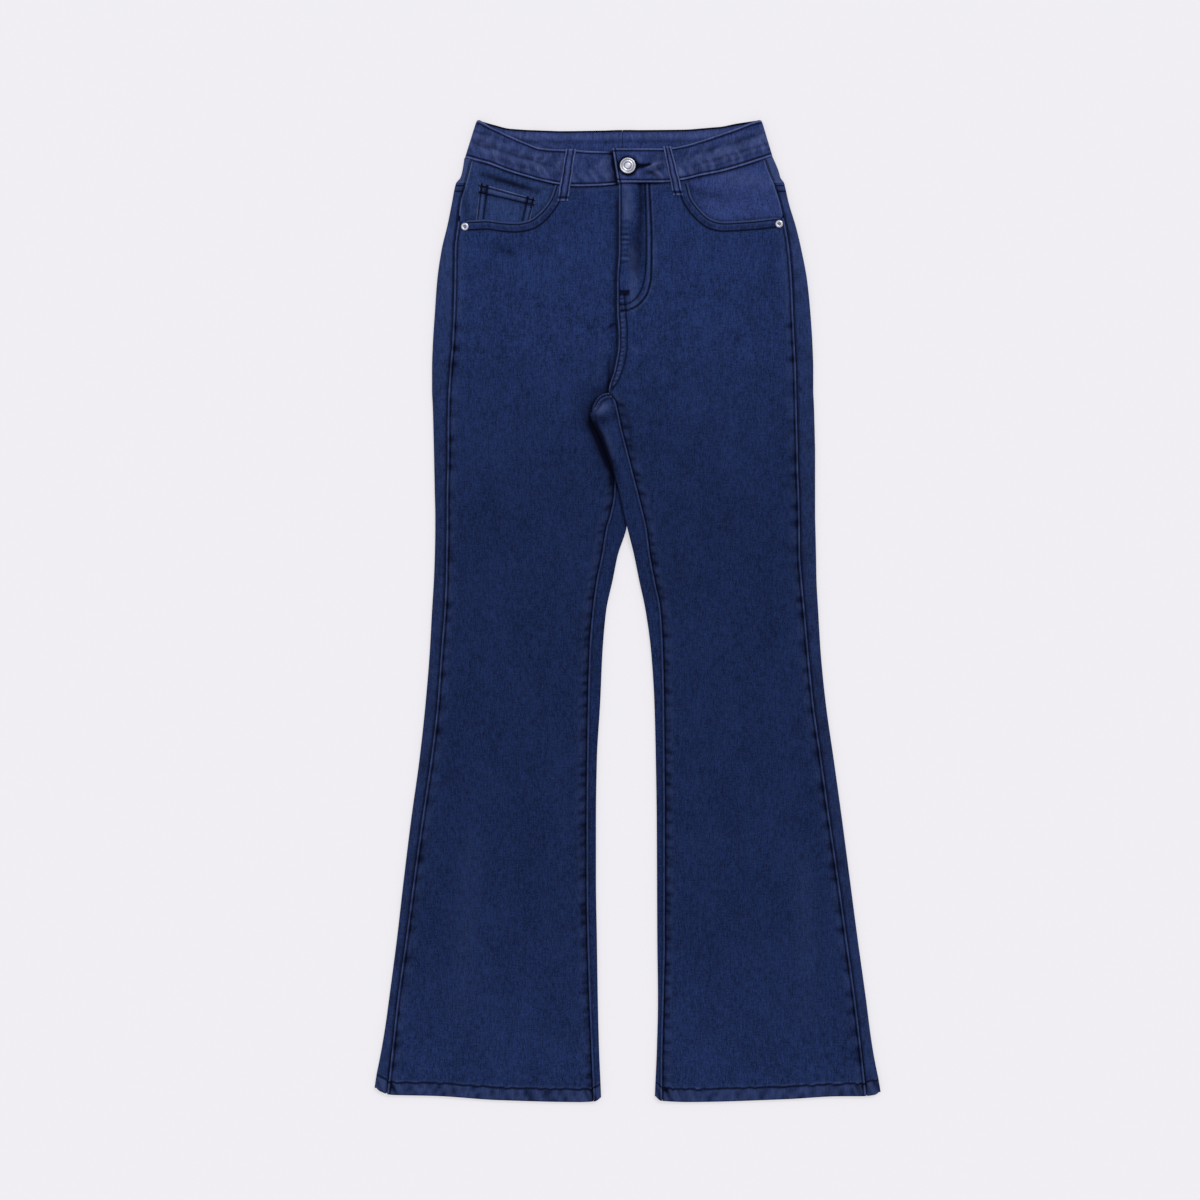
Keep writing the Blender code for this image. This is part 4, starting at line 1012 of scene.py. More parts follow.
@dataclass
class SewingBox:
    """Collects rows of stitching, lays them on the cloth and sews each group."""

    pieces: dict[str, bpy.types.Object]
    rows: dict[str, list[tuple[Vector, Vector]]] = field(default_factory=dict)
    faces: dict[str, BVHTree] = field(default_factory=dict)

    def face(self, name: str) -> BVHTree:
        """The faces of one piece of cloth."""
        if name not in self.faces:
            mesh = self.pieces[name].data
            points, corners = [v.co.copy() for v in mesh.vertices], [tuple(p.vertices) for p in mesh.polygons]
            self.faces[name] = BVHTree.FromPolygons(points, corners)
        return self.faces[name]

    def drop(self, names: Sequence[str], x: float, y: float, under: bool) -> Optional[Vector]:
        """The cloth's outer face at (x, y), seen from above or from under it."""
        sign = -1 if under else 1
        start, way = Vector((x * MM, y * MM, 0.05 * sign)), Vector((0, 0, -sign))
        hits = [hit for hit in (self.face(name).ray_cast(start, way)[0] for name in names) if hit]
        return min(hits, key=lambda hit: (hit - start).length, default=None)

    def lay(self, group: str, names: Sequence[str], points: Path, under: bool) -> None:
        """Adds a stitch between each two points that both lie on the cloth."""
        spots = [self.drop(names, x, y, under) for x, y in points]
        self.rows.setdefault(group, []).extend((a, b) for a, b in zip(spots, spots[1:]) if a and b)

    def row(self, group: str, names: Sequence[str], path: Path, under: bool = False) -> None:
        """Adds a row of stitching along a line.

        Args:
            group: The group that it is sewn with.
            names: The pieces that it lies on.
            path: The (x, y) points of the line.
            under: Whether it is on the underside.
        """
        line = np.array(path)
        reach = np.concatenate([[0], np.cumsum(np.hypot(*np.diff(line, axis=0).T))])
        at = np.linspace(0, reach[-1], max(1, round(reach[-1] / STITCH_LENGTH)) + 1)
        points = list(zip(*(np.interp(at, reach, line[:, i]) for i in (0, 1))))
        self.lay(f"stitches_{group}", names, points, under)

    def tack(self, names: Sequence[str], centre: tuple[float, float], long: float, wide: float,
             angle: float = 0, under: bool = False) -> None:
        """Adds a bartack: a dense zigzag.

        Args:
            names: The pieces that it lies on.
            centre: Its middle.
            long: Its length.
            wide: Its width, which each stitch crosses.
            angle: Its direction, in degrees from +X.
            under: Whether it is on the underside.
        """
        count, (x, y) = max(4, round(long / TACK_PITCH)), centre
        cos, sin = math.cos(math.radians(angle)), math.sin(math.radians(angle))
        zigzag = [(long * (i / count - 0.5), wide * (0.5 if i % 2 else -0.5)) for i in range(count + 1)]
        self.lay(BARTACKS, names, [(x + u * cos - v * sin, y + u * sin + v * cos) for u, v in zigzag], under)

    def sew_all(self, tool: StitchTool, thread: bpy.types.Material) -> None:
        """Sews every group and sets it on the garment."""
        for seed, (group, edges) in enumerate(sorted(self.rows.items())):
            thickness = BARTACK_THREAD if group == BARTACKS else THREAD
            place(tool.sew(group, edges, thread, thickness, seed), Slot.DENIM)


# Distances from a seam at which a panel has columns: close together at the seam's roll and row of stitching.
SEAM_COLUMNS = spaced((0, 3.6, 0.45), (3.6, 6, 0.8), (6, 14, 1.6))
FLY_COLUMNS = spaced((0, 3.6, 0.45), (3.6, 20, 1.5), (20, 38, 0.9))
HEM_ROWS_UP = spaced((0, 1.8, 0.45), (1.8, 10, 1.6), (10, 17, 0.5), (17, 26, 1.8))

# Where the columns lie across the outer strip, round a fold, across the underside and across the inner strip.
STRIP_SHARES = np.array([0, 0.04, 0.08, 0.13, 0.19, 0.26, 0.34, 0.43, 0.53, 0.64, 0.76, 0.88])
FOLD_ANGLES = np.radians(np.linspace(90, -90, 11))
FLAT_SHARES = np.linspace(0, 1, 34)[1:]
INNER_SHARES = 1 - np.linspace(1, 0, 24)[1:] ** 1.5
# For each column that wraps round the side: 1 where it looks up and -1 where it lies on the table, and 0 on
# the front rising to 1 on the back.
WRAP_UP = np.concatenate([np.ones(len(STRIP_SHARES)), np.sin(FOLD_ANGLES), -np.ones(len(FLAT_SHARES))])
WRAP_UNDER = (1 - WRAP_UP) / 2

# The flap where the left thigh lies over the right one: how far its seam climbs, its rows, edge and folds.
FLAP_RISE = 21
FLAP_ROWS = (
    ((-23.5, 233.2), (-29, 231), (-34.5, 226), (-37.4, 221)),
    ((-20.5, 230.2), (-26.5, 228), (-31.5, 223), (-34, 218.5)),
)
FLAP_EDGE = ((-25, 234.5), (-34, 229), (-40.2, 218), (-40.8, 210.5), (-39.2, 205), (-33.6, 195),
             (-28.8, 185), (-24.6, 174), (-16.2, 150), (-8.6, 125), (-4, 103), (-1, 90))
FLAP_FOLDS = (
    (-33, 215, -23, 220.5, 4.6, -1.2, 0.7),
    (-37, 209.5, -26, 205.5, 3.2, 1, 0.7),
    (-26, 205.5, -12, 211, 3.2, 0.9, 0.6),
    (-25, 195, -16, 165, 4, -0.8, 0.4),
    (-31, 190, -27, 184, 3, 0.4, 0.4),
    (-9, 203, -3, 176, 3, 0.4, 0.6),
)


# Creases placed one by one. A negative depth is a ridge. A row may leave out its tone.
CREASE_COLUMNS = ("x1", "y1", "x2", "y2", "half", "depth", "tone")
CREASES = {
    "right": (
        (-20, 276, -21.8, 246, 1.9, 0.8, 1.1),
        (-21.5, 304.8, -15, 309.8, 1.8, 0.5, 2.4),
        (-36, 236, -25, 241, 6, 0.5, 0.9),
        (-140, 390, -122, 385, 4.5, 0.8, 0.7),
        (-10, 282, -15.5, 256, 2.5, -0.4, 0.6),
        (-27, 284, -35, 246, 4, -0.5),
        (-30, 262, -58, 222, 6, 0.45),
        (-24, 226, -70, 196, 7, 0.5),
        (-36, 178, -92, 166, 8, 0.35),
        (-160, 398, -90, 388, 9, 0.35),
        (-150, 342, -60, 330, 12, 0.3),
        (-185, 250, -110, 258, 10, 0.35),
        (-120, 20, -60, 2, 12, 0.35),
        (-190, -60, -130, -48, 11, 0.3),
        (-100, -190, -112, -330, 14, 0.4),
        (-170, -250, -178, -440, 13, -0.35),
    ),
    "left": (
        (12, 459, 14.5, 384, 4, 0.7),
        (1, 456, 2, 424, 5, -0.4, 0.8),
        (3, 296, 12, 292, 3, 0.4, 0.9),
        (4, 284, 10, 279, 3, -0.3, 0.8),
        (-4.5, 222, 8.5, 166, 3.6, 0.4, 1.3),
        (2, 252, 34, 282, 5, 0.5),
        (2, 236, 46, 240, 6, 0.5),
        (8, 206, 54, 196, 7, 0.45),
        (12, 172, 70, 166, 8, 0.35),
        (60, 398, 150, 396, 10, 0.35),
        (48, 342, 140, 330, 13, 0.3),
        (172, 300, 110, 292, 10, 0.35),
        (60, 30, 110, 12, 12, 0.35),
        (180, -20, 126, -34, 11, 0.3),
        (104, -180, 116, -340, 14, 0.4),
        (186, -260, 196, -440, 13, -0.35),
    ),
}

UNDERSIDE_CREASES = {
    "right": (
        (-170, 226, -60, 250, 9, 0.9),
        (-150, 206, -44, 222, 8, 0.7),
        (-120, 180, -30, 200, 8, 0.6),
        (-190, 20, -90, 2, 10, 0.8),
        (-170, -12, -70, -22, 9, 0.6),
        (-130, -180, -146, -360, 13, 0.5),
    ),
    "left": (
        (158, 230, 50, 252, 9, 0.9),
        (140, 204, 30, 226, 8, 0.7),
        (110, 178, 20, 196, 8, 0.6),
        (186, 26, 84, 4, 10, 0.8),
        (160, -14, 72, -26, 9, 0.6),
        (126, -170, 144, -350, 13, 0.5),
    ),
}


@dataclass
class Piece:
    """A cloth piece on one side of the garment. It needs no finish where only its lines are asked for."""

    form: Form
    side: Side
    finish: Optional[bpy.types.Material] = None

    def edge(self, line: str, y: Array | float) -> Array:
        """The X of one of this leg's lines at a height up the garment."""
        return self.form.edge(self.side, line, y)

    def away(self, line: str, grid: Grid) -> Array:
        """How far each point is from one of this leg's lines."""
        return np.abs(grid.x - self.edge(line, grid.y))

    def puckers(self, seed: int, start: float, end: float, pitch: float) -> Puckers:
        """Puckers whose spacing differs between the right and the left."""
        return Puckers(seed + self.side.pick(0, 1), start, end, pitch)

    def under_band(self, grid: Grid, depth: float, reach: float) -> Array:
        """Sinks the cloth that goes under the waistband, paints shade along the band's lower edge, and gives
        how far each point is below the band.
        """
        below = self.form.front_waist[self.side](grid.x) - grid.y
        grid.move(-depth * smooth(reach, 0.2, below))
        grid.shade += 0.8 * bump(0.8, 1.6, below)
        return below

    def hem_row(self, x: Array) -> tuple[Array, Array]:
        """How high over the hem's edge its row of stitching runs, and how far it bunches the cloth there.

        Past the outseam and the inseam, the row is a little higher.
        """
        seed = self.side.pick(31, 32)
        wave = 0.8 * Puckers(seed, *HEM_REACH, 12)(x) + 0.4 * Puckers(seed + 2, *HEM_REACH, 6)(x)
        seams = sorted(float(self.edge(line, HEM_STITCH_Y)) for line in ("outseam", "inseam"))
        return HEM_HEIGHT + 0.3 - 2 * (wave - 0.5) + 1.8 * (1 - window(*seams, 1, x)), wave

    def rope_hem(self, grid: Grid) -> None:
        """Presses the turned hem in: a roped row of stitching with painted shade in its ditch, a crest above
        it lightened by fading and a painted highlight, and a fold below, lightened too and mottled by painted
        shade in slanting puckers.
        """
        up = grid.y - self.form.hem_line(self.side, grid.x)
        row, wave = self.hem_row(grid.x)
        ditch, crest = bump(0, 1.1, up - row), bump(2.1, 1, up - row)
        slant = self.puckers(41, *HEM_REACH, 11)(grid.x + 0.5 * up)
        fold = smooth(row, row - 2, up)
        grid.move((0.3 + 0.35 * wave) * crest - 0.55 * ditch - 0.3 * slant * fold * smooth(0, 4, up))
        grid.move(-0.6 * smooth(1, 0, up))
        grid.shade += (1 + 0.3 * wave) * ditch + 0.75 * slant * fold + 0.6 * smooth(1.6, 0.2, up)
        grid.wear += (0.05 + 0.65 * wave) * crest + 0.42 * fold * (1 - 0.9 * slant)

    def outseam_relief(self, grid: Grid) -> None:
        """The ditch and the soft puckers on the strip beside the outseam: painted shade in the ditch, along
        the fold's edge and in the puckers' hollows.
        """
        on_top = (WRAP_UP > 0.3).astype(float)
        away = self.away("outseam", grid)
        grid.edge(away, row=0, lift=0.1, light=0.12, on=on_top)
        grid.shade += on_top * 0.85 * bump(1, 1, away) + rim_shade(WRAP_UP)
        grid.wear += on_top * (0.13 + 0.2 * smooth(300, 420, grid.y)) * smooth(1.5, 4, away)
        soft = self.puckers(51, -520, 480, 30)(grid.y)
        grid.move(-0.25 * on_top * soft * bump(5, 4, away))
        grid.shade += on_top * 0.4 * soft * bump(4.5, 4, away)


def rim_shade(up: Array) -> Array:
    """The dark line that a fold shows along its very edge, for how far each point looks up."""
    return 0.7 * bump(0.1, 0.45, up)


def flap_shadow(grid: Grid, half: float) -> None:
    """The deep shade on the right leg along the edge of the thigh that lies over it."""
    line = smooth_path(FLAP_EDGE, 3)
    away, near = (distance_to(path, grid.x, grid.y) for path in (line, beside(line, -3)))
    strength, wide, halo = (smooth(low, full, grid.y) * smooth(end, fade, grid.y) for low, full, end, fade in
                            ((120, 175, 213, 196), (84, 100, 246, 222), (110, 180, 252, 226)))
    grid.shade += 1.3 * strength * bump(0, 0.7 * half, near) + 0.45 * halo * bump(0, 2.2 * half, away)
    grid.shade += wide * 0.6 * bump(0, 2.2, away)
    grid.move(-0.8 * strength * bump(0, half, away))


def cut_through(obj: bpy.types.Object, outline: Path) -> None:
    """Takes a flat outline's space out of a piece, all the way through."""
    foot, height = -5 * MM, 30 * MM
    made = bmesh.new()
    face = made.faces.new([made.verts.new((x * MM, y * MM, foot)) for x, y in outline])
    raised = bmesh.ops.extrude_face_region(made, geom=[face])["geom"]
    top = [v for v in raised if isinstance(v, bmesh.types.BMVert)]
    bmesh.ops.translate(made, verts=top, vec=(0, 0, height))
    bmesh.ops.recalc_face_normals(made, faces=made.faces)
    cutter = linked("cutter", bpy.data.meshes.new("cutter"))
    made.to_mesh(cutter.data)
    made.free()
    modified(obj, "BOOLEAN", operation="DIFFERENCE", solver="EXACT", object=cutter)
    bpy.data.objects.remove(cutter)


class FrontPanel(Piece):
    """Half of the front, from the outseam to the fly or the inseam, with its pocket's opening."""

    OPENING_TOP = 520.0

    def columns(self, width: Array) -> Array:
        """Distances from the outseam for a panel of each width, close together at both edges."""
        inner = self.side.pick(SEAM_COLUMNS, FLY_COLUMNS)
        shares = np.linspace(0, 1, self.side.pick(38, 28))[1:-1]
        first, last = SEAM_COLUMNS[-1], inner[-1]
        return np.array([np.concatenate([SEAM_COLUMNS, first + (w - last - first) * shares, w - inner[::-1]])
                         for w in width])

    def grid(self) -> Grid:
        """The panel's outer face."""
        form, side = self.form, self.side
        hem = HEM_Y + HEM_ROWS_UP
        y = np.concatenate([spaced((WAIST_Y, 225, 2.1), (225, hem[-1], 3.4)), hem[::-1][1:]])[:, None]
        moved = y
        for _ in range(FITTINGS):
            start, end = (self.edge(line, moved) + sign * SEAM_GAP / 2
                          for line, sign in (("outseam", -side.out), ("inseam", side.out)))
            if side is Side.RIGHT:
                end = end + UNDERLAP_WIDTH * smooth(UNDERLAP_BOTTOM_Y - 1, UNDERLAP_BOTTOM_Y + 1, moved)
            width = np.abs(end - start)
            x = start + (end - start) * self.columns(width[:, 0]) / width[:, :1]
            waist = form.front_waist[side](x) - SEAM_GAP - WAIST_Y
            moved = form.at_hem(side, x, y) + waist * smooth(370, WAIST_Y, y)
        grid = Grid(x, moved, form.front_top(side, x, moved))
        self.seams(grid)
        self.rope_hem(grid)
        for row in CREASES[side]:
            grid.fold(**dict(zip(CREASE_COLUMNS, row)))
        grid.wear += 0.35 * bump(3.4, 1.2, self.under_band(grid, 1.6, 1.6))
        return grid

    def seams(self, grid: Grid) -> None:
        """The rolled edges at the outseam, and at the fly or the inseam, with what the sewing draws up.
        Pucker hollows and ditches get painted shade, and the right front gets painted shadow beside the left
        front's lap and along the edge of the thigh that lies over it.
        """
        side, y = self.side, grid.y
        outer, inner = self.away("outseam", grid), self.away("inseam", grid)
        grid.edge(outer, row=3.1, lift=0.3, light=0.8)
        # Puckers beside the outseam: sunk, with painted shade in their hollows and lightening between them.
        shaded_puckers = self.puckers(11, -520, 330, 20)(y) * (1 + 0.3 * waver(grid.x, y, 11))
        grid.move(-0.4 * shaded_puckers * bump(5, 5, outer))
        grid.shade += 0.95 * shaded_puckers * bump(4.5, 4.5, outer)
        grid.wear += 0.16 * (1 - shaded_puckers) * bump(6, 5, outer)
        below = smooth(CROTCH_Y + 4, CROTCH_Y - 6, y)
        pull = self.puckers(21, -520, 236, 12.5)(y + 0.3 * inner) * below
        grid.move(-0.35 * pull * bump(4.5, 3.6, inner) - 0.5 * below * smooth(1.2, 0, inner))
        grid.shade += 1.1 * pull * bump(3.6, 3.4, inner)
        grid.wear += 0.2 * below * (1 - pull) * bump(6, 4, inner)
        grid.shade += (bump(0.4, 1.4, inner) + 0.14 * bump(4, 7, inner)) * below
        if side is Side.RIGHT:
            shadow = smooth(CROTCH_Y - 4, CROTCH_Y + 6, y) * smooth(WAIST_Y - 20, WAIST_Y - 60, y)
            grid.shade += (0.8 * bump(1.5, 2.2, inner) + 0.25 * bump(0, 7, inner)) * shadow
            flap_shadow(grid, 6)
        else:
            grid.edge(inner, row=2.5, lift=0.3, light=0.9, on=1 - below)
            self.fly(grid, inner)

    def fly(self, grid: Grid, from_edge: Array) -> None:
        """The fly's curved rows, the zip's ripples beside its edge and the seam's second row below it.
        Grooves, troughs and the zone right of the zip get painted shade, with a dark bar at the bartack;
        crests and patches are lightened by fading and a painted highlight.
        """
        x, y = grid.x, grid.y
        rows = [distance_to(smooth_path(row, 3), x, y) for row in (FLY_OUTER_ROW, FLY_INNER_ROW, RISE_ROW)]
        for away in rows:
            grid.stitch(away - 0.12 * waver(x, y, 3), depth=0.4, half=0.95, dark=1.25)
        outer, inner = rows[:2]
        band = smooth(7.5, 5.2, outer + inner)
        grid.move(0.3 * band)
        nearest = np.minimum(outer, inner)
        grid.wear += 0.55 * band * bump(2.7, 1, nearest) + 0.5 * bump(2.2, 0.8, outer) * (1 - band)
        grid.shade += 0.35 * bump(0, 1.1, outer)
        ripple = np.sin(2 * math.pi * y / 6.6 + 1.9 * np.sin(y / 9)) * (0.65 + 0.35 * np.sin(y / 3.7))
        self.ripple(grid, ripple, bump(7, 4.4, from_edge) * window(378, 416, 8, y), 0.35, 1, 0, 0.9)
        low = smooth(425, 400, y)
        dark = bump(13.8 - 3.6 * low, 3.8 + 4.2 * low, x) * window(372, 459, 16, y)
        grid.shade += 0.95 * dark * (0.8 + 0.2 * waver(x, y, 7)) * smooth(20.4, 19, x)
        grid.shade += 1.3 * window(-8.6, 1, 1.6, x) * window(341, 344.6, 1.2, y)
        patches = bump(7.5, 5, from_edge) * window(424, 458, 8, y)
        grid.wear += 0.4 * patches * (1 + 0.9 * waver(x, 0.5 * y, 9))
        grid.wear += 0.45 * bump(5.5, 5, x) * window(335, 385, 16, y)
        rope = np.sin(2 * math.pi * y / 5.2 + 0.8 * np.sin(y / 9))
        self.ripple(grid, rope, window(244, 336, 6, y) * bump(5, 1.7, from_edge), 0.22, 0.8, 0.2, 0.8)

    def ripple(self, grid: Grid, wave: Array, zone: Array, rise: float, dark: float, base: float,
               light: float) -> None:
        """Raises a wave in a zone of the cloth.

        Args:
            grid: The panel's outer face.
            wave: The wave, from -1 to 1.
            zone: 1 where the wave is, 0 elsewhere.
            rise: The wave's height.
            dark: How much painted shade its troughs get.
            base: How much the whole zone is lightened, by fading and a painted highlight.
            light: How much more the crests are lightened, by fading and a painted highlight.
        """
        grid.move(rise * wave * zone)
        grid.shade += dark * np.clip(-wave, 0, 1) * zone
        grid.wear += (base + light * np.clip(wave, 0, 1)) * zone

    def build(self) -> bpy.types.Object:
        """Makes the panel and cuts its pocket's opening."""
        side = self.side
        obj = shell(f"front_panel_{side}", [self.grid()], WALL, self.finish, side is Side.RIGHT)
        edge = smooth_path(OPENING_EDGE[side], 3)
        beyond, top = edge[-1][0] + side.out * 40, self.OPENING_TOP
        cut_through(obj, [(edge[0][0], top), *edge, (beyond, edge[-1][1]), (beyond, top)])
        return place(dress(obj, self.finish), Slot.DENIM, f"front_{side}")


class BackPanel(Piece):
    """Half of the back below the yoke, round both folds to the outseam and to the inseam on the front."""

    def fold(self, edge: str, outward: float, y: Array, angle: Array | float) -> tuple[Array, Array]:
        """Points (x, z) round one of the leg's folds, from 90 degrees at its top to -90 at its underside."""
        x_edge = self.edge(edge, y)
        inside = x_edge - outward * FOLD_FLAT_FROM
        low, high = self.form.floor(self.side, inside, y), self.form.top(self.side, inside, y)
        radius = (high - low) / 2
        return x_edge - outward * radius * (1 - np.cos(angle)), (high + low) / 2 + radius * np.sin(angle)

    def lay(self, y: Array) -> tuple[Array, Array]:
        """The outer strip, the outer fold and the underside.

        Args:
            y: The height up the garment of each point, a row and a column for each.

        Returns:
            The x and z of each point.
        """
        form, side, out = self.form, self.side, self.side.out
        strip, turn, flat = np.split(y, [len(STRIP_SHARES), len(STRIP_SHARES) + len(FOLD_ANGLES)], axis=1)
        seam = self.edge("outseam", strip) + out * SEAM_GAP / 2
        strip_x = seam + (self.fold("outer", out, strip, math.pi / 2)[0] - seam) * STRIP_SHARES
        turn_x, turn_z = self.fold("outer", out, turn, FOLD_ANGLES)
        start = self.fold("outer", out, flat, -math.pi / 2)[0]
        below = self.fold("inner", -out, flat, -math.pi / 2)[0]
        seat = form.edge(Side.RIGHT, "inner", np.maximum(flat, CROTCH_Y))
        end = np.where(flat <= CROTCH_Y, self.edge("inner", flat), seat) + out * SEAM_GAP / 2
        flat_x = start + (np.where(flat <= FORK_Y + 1, below, end) - start) * FLAT_SHARES
        z = [form.top(side, strip_x, strip), turn_z, form.underside(side, flat_x, flat)]
        return np.concatenate([strip_x, turn_x, flat_x], axis=1), np.concatenate(z, axis=1)

    def build(self) -> bpy.types.Object:
        """Makes the panel."""
        form, side = self.form, self.side
        hem = HEM_Y + HEM_ROWS_UP
        upper = spaced((YOKE_SIDE_Y, YOKE_SIDE_Y - 12, 0.6), (YOKE_SIDE_Y - 12, FORK_Y + 2, 3.2),
                       (FORK_Y + 2, FORK_Y, 1), (FORK_Y, FORK_Y - 12, 0.6), (FORK_Y - 12, hem[-1], 3.4))
        rows = np.concatenate([upper, hem[::-1][1:]])[:, None]
        y = np.repeat(rows, len(WRAP_UP), axis=1)
        x, z = self.lay(y)
        body = Grid(x, form.at_hem(side, x, y), z, WRAP_UP)
        body.y += (form.yoke_seam(side, x) - YOKE_SIDE_Y) * smooth(404, YOKE_SIDE_Y, y) * WRAP_UNDER
        body.y[0] -= SEAM_GAP / 2
        self.relief(body)
        low = rows[:, 0] <= FORK_Y + 0.01
        inner = self.inner_strip(rows[low], x[low, -1:])
        obj = shell(f"back_panel_{side}", [body, inner], WALL, self.finish, side is Side.LEFT)
        return place(obj, Slot.DENIM, f"back_{side}")

    def relief(self, grid: Grid) -> None:
        """The outseam's ditch and crest, the yoke's edge, the seat seam and the hem."""
        self.outseam_relief(grid)
        self.rope_hem(grid)
        lower = YOKE_SIDE_Y + (self.form.yoke_seam(self.side, grid.x) - YOKE_SIDE_Y) * WRAP_UNDER
        grid.edge(lower - grid.y, row=2.6, lift=0.15, light=0.5)
        grid.stitch(lower - grid.y - 8.8, half=0.9)
        grid.edge(self.away("inner", grid), row=2.4, lift=0, light=0.4, on=(grid.y > FORK_Y) * WRAP_UNDER)
        for row in UNDERSIDE_CREASES[self.side]:
            under = grid.blank()
            under.fold(**dict(zip(CREASE_COLUMNS, row)))
            grid.move(under.z * WRAP_UNDER)
            grid.shade += under.shade * WRAP_UNDER

    def inner_strip(self, y: Array, end: Array) -> Grid:
        """The inner fold and the strip between it and the inseam, below the fork.

        Args:
            y: The height of each row.
            end: Where each row of the underside ends.

        Returns:
            The strip's outer face.
        """
        form, side, out, angles = self.form, self.side, self.side.out, FOLD_ANGLES[::-1]
        turn_x, turn_z = self.fold("inner", -out, y, angles)
        turn_x[:, :1], turn_z[:, :1] = end, form.floor(side, end, y)
        rise = side.pick(0, FLAP_RISE) * smooth(160, FORK_Y, y)
        seam = self.edge("inseam", y + rise) - out * SEAM_GAP / 2
        x = turn_x[:, -1:] + (seam - turn_x[:, -1:]) * INNER_SHARES
        height = y + rise * np.sqrt(1 - (1 - INNER_SHARES) ** 2)
        up = np.concatenate([np.sin(angles), np.ones(len(INNER_SHARES))])
        whole = np.concatenate([turn_x, x], axis=1)
        heights = np.concatenate([np.repeat(y, len(angles), axis=1), height], axis=1)
        z = np.concatenate([turn_z, form.top(side, x, height)], axis=1)
        grid = Grid(whole, form.at_hem(side, whole, heights), z, up)
        top = (up > 0.5).astype(float)
        away = self.away("inseam", grid)
        grid.edge(away, row=0, lift=0.35, light=0.55, on=top)
        grid.shade += top * 0.6 * bump(2.9, 0.9, away) + rim_shade(up)
        self.rope_hem(grid)
        if side is Side.LEFT:
            self.flap(grid, list(zip(x[0, ::2], height[0, ::2])), top)
        else:
            flap_shadow(grid, 5)
        return grid

    def flap(self, grid: Grid, line: Path, top: Array) -> None:
        """The seat seam's end on the flap at the crotch, the puffs and hollows below it with painted shade
        and highlight, and painted shadow along the flap's edge.

        Args:
            grid: The strip's outer face.
            line: The flap's upper edge.
            top: 1 on the columns that look up.
        """
        away = distance_to(line, grid.x, grid.y)
        near = top * smooth(165, 190, grid.y)
        grid.edge(away, row=2.5, lift=0.3, light=0.85, on=near)
        grid.stitch(away - 6.6, depth=0.4, half=1, dark=0.8, on=near)
        grid.wear += near * 0.6 * bump(4.6, 1.1, away)
        for row in FLAP_FOLDS:
            grid.fold(*row)
        rim = distance_to(smooth_path(FLAP_EDGE, 3), grid.x, grid.y)
        low = smooth(213, 200, grid.y) * smooth(125, 165, grid.y) * (np.asarray(grid.up) > -0.2)
        grid.shade += 1.2 * low * bump(0, 3.8, rim) + 0.3 * low * bump(0, 8, rim)


class Yoke(BackPanel):
    """The piece between the back panel and the waistband, as far as the outseam on the front."""

    def build(self) -> bpy.types.Object:
        """Makes the yoke."""
        form, side = self.form, self.side
        down = spaced((0, 0.88, 0.06), (0.88, 1, 0.015))[:, None]
        y = np.full((len(down), len(WRAP_UP)), WAIST_Y - 15.0)
        for _ in range(FITTINGS):
            x = self.lay(y)[0]
            upper = form.front_waist[side](x) * (1 - WRAP_UNDER) + form.back_waist[side](x) * WRAP_UNDER - 0.4
            lower = YOKE_SIDE_Y * (1 - WRAP_UNDER) + form.yoke_seam(side, x) * WRAP_UNDER + SEAM_GAP / 2
            y = upper + (lower - upper) * down
        x, z = self.lay(y)
        grid = Grid(x, y, z, WRAP_UP)
        self.outseam_relief(grid)
        grid.wear += 0.6 * bump(1, 0.9, y - lower) + 0.45 * (WRAP_UP > 0.3)
        grid.shade *= 1 - 0.4 * (WRAP_UP > 0.3)
        obj = shell(f"yoke_piece_{side}", [grid], WALL, self.finish, side is Side.LEFT)
        return place(obj, Slot.DENIM, f"yoke_{side}")


def station(row: Sequence[float], down: Array | float) -> tuple[Array, Array]:
    """The point (x, y) a share of the way down from a row's upper end to its lower one."""
    top_x, top_y, bottom_x, bottom_y = row[:4]
    return top_x + (bottom_x - top_x) * down, top_y + (bottom_y - top_y) * down


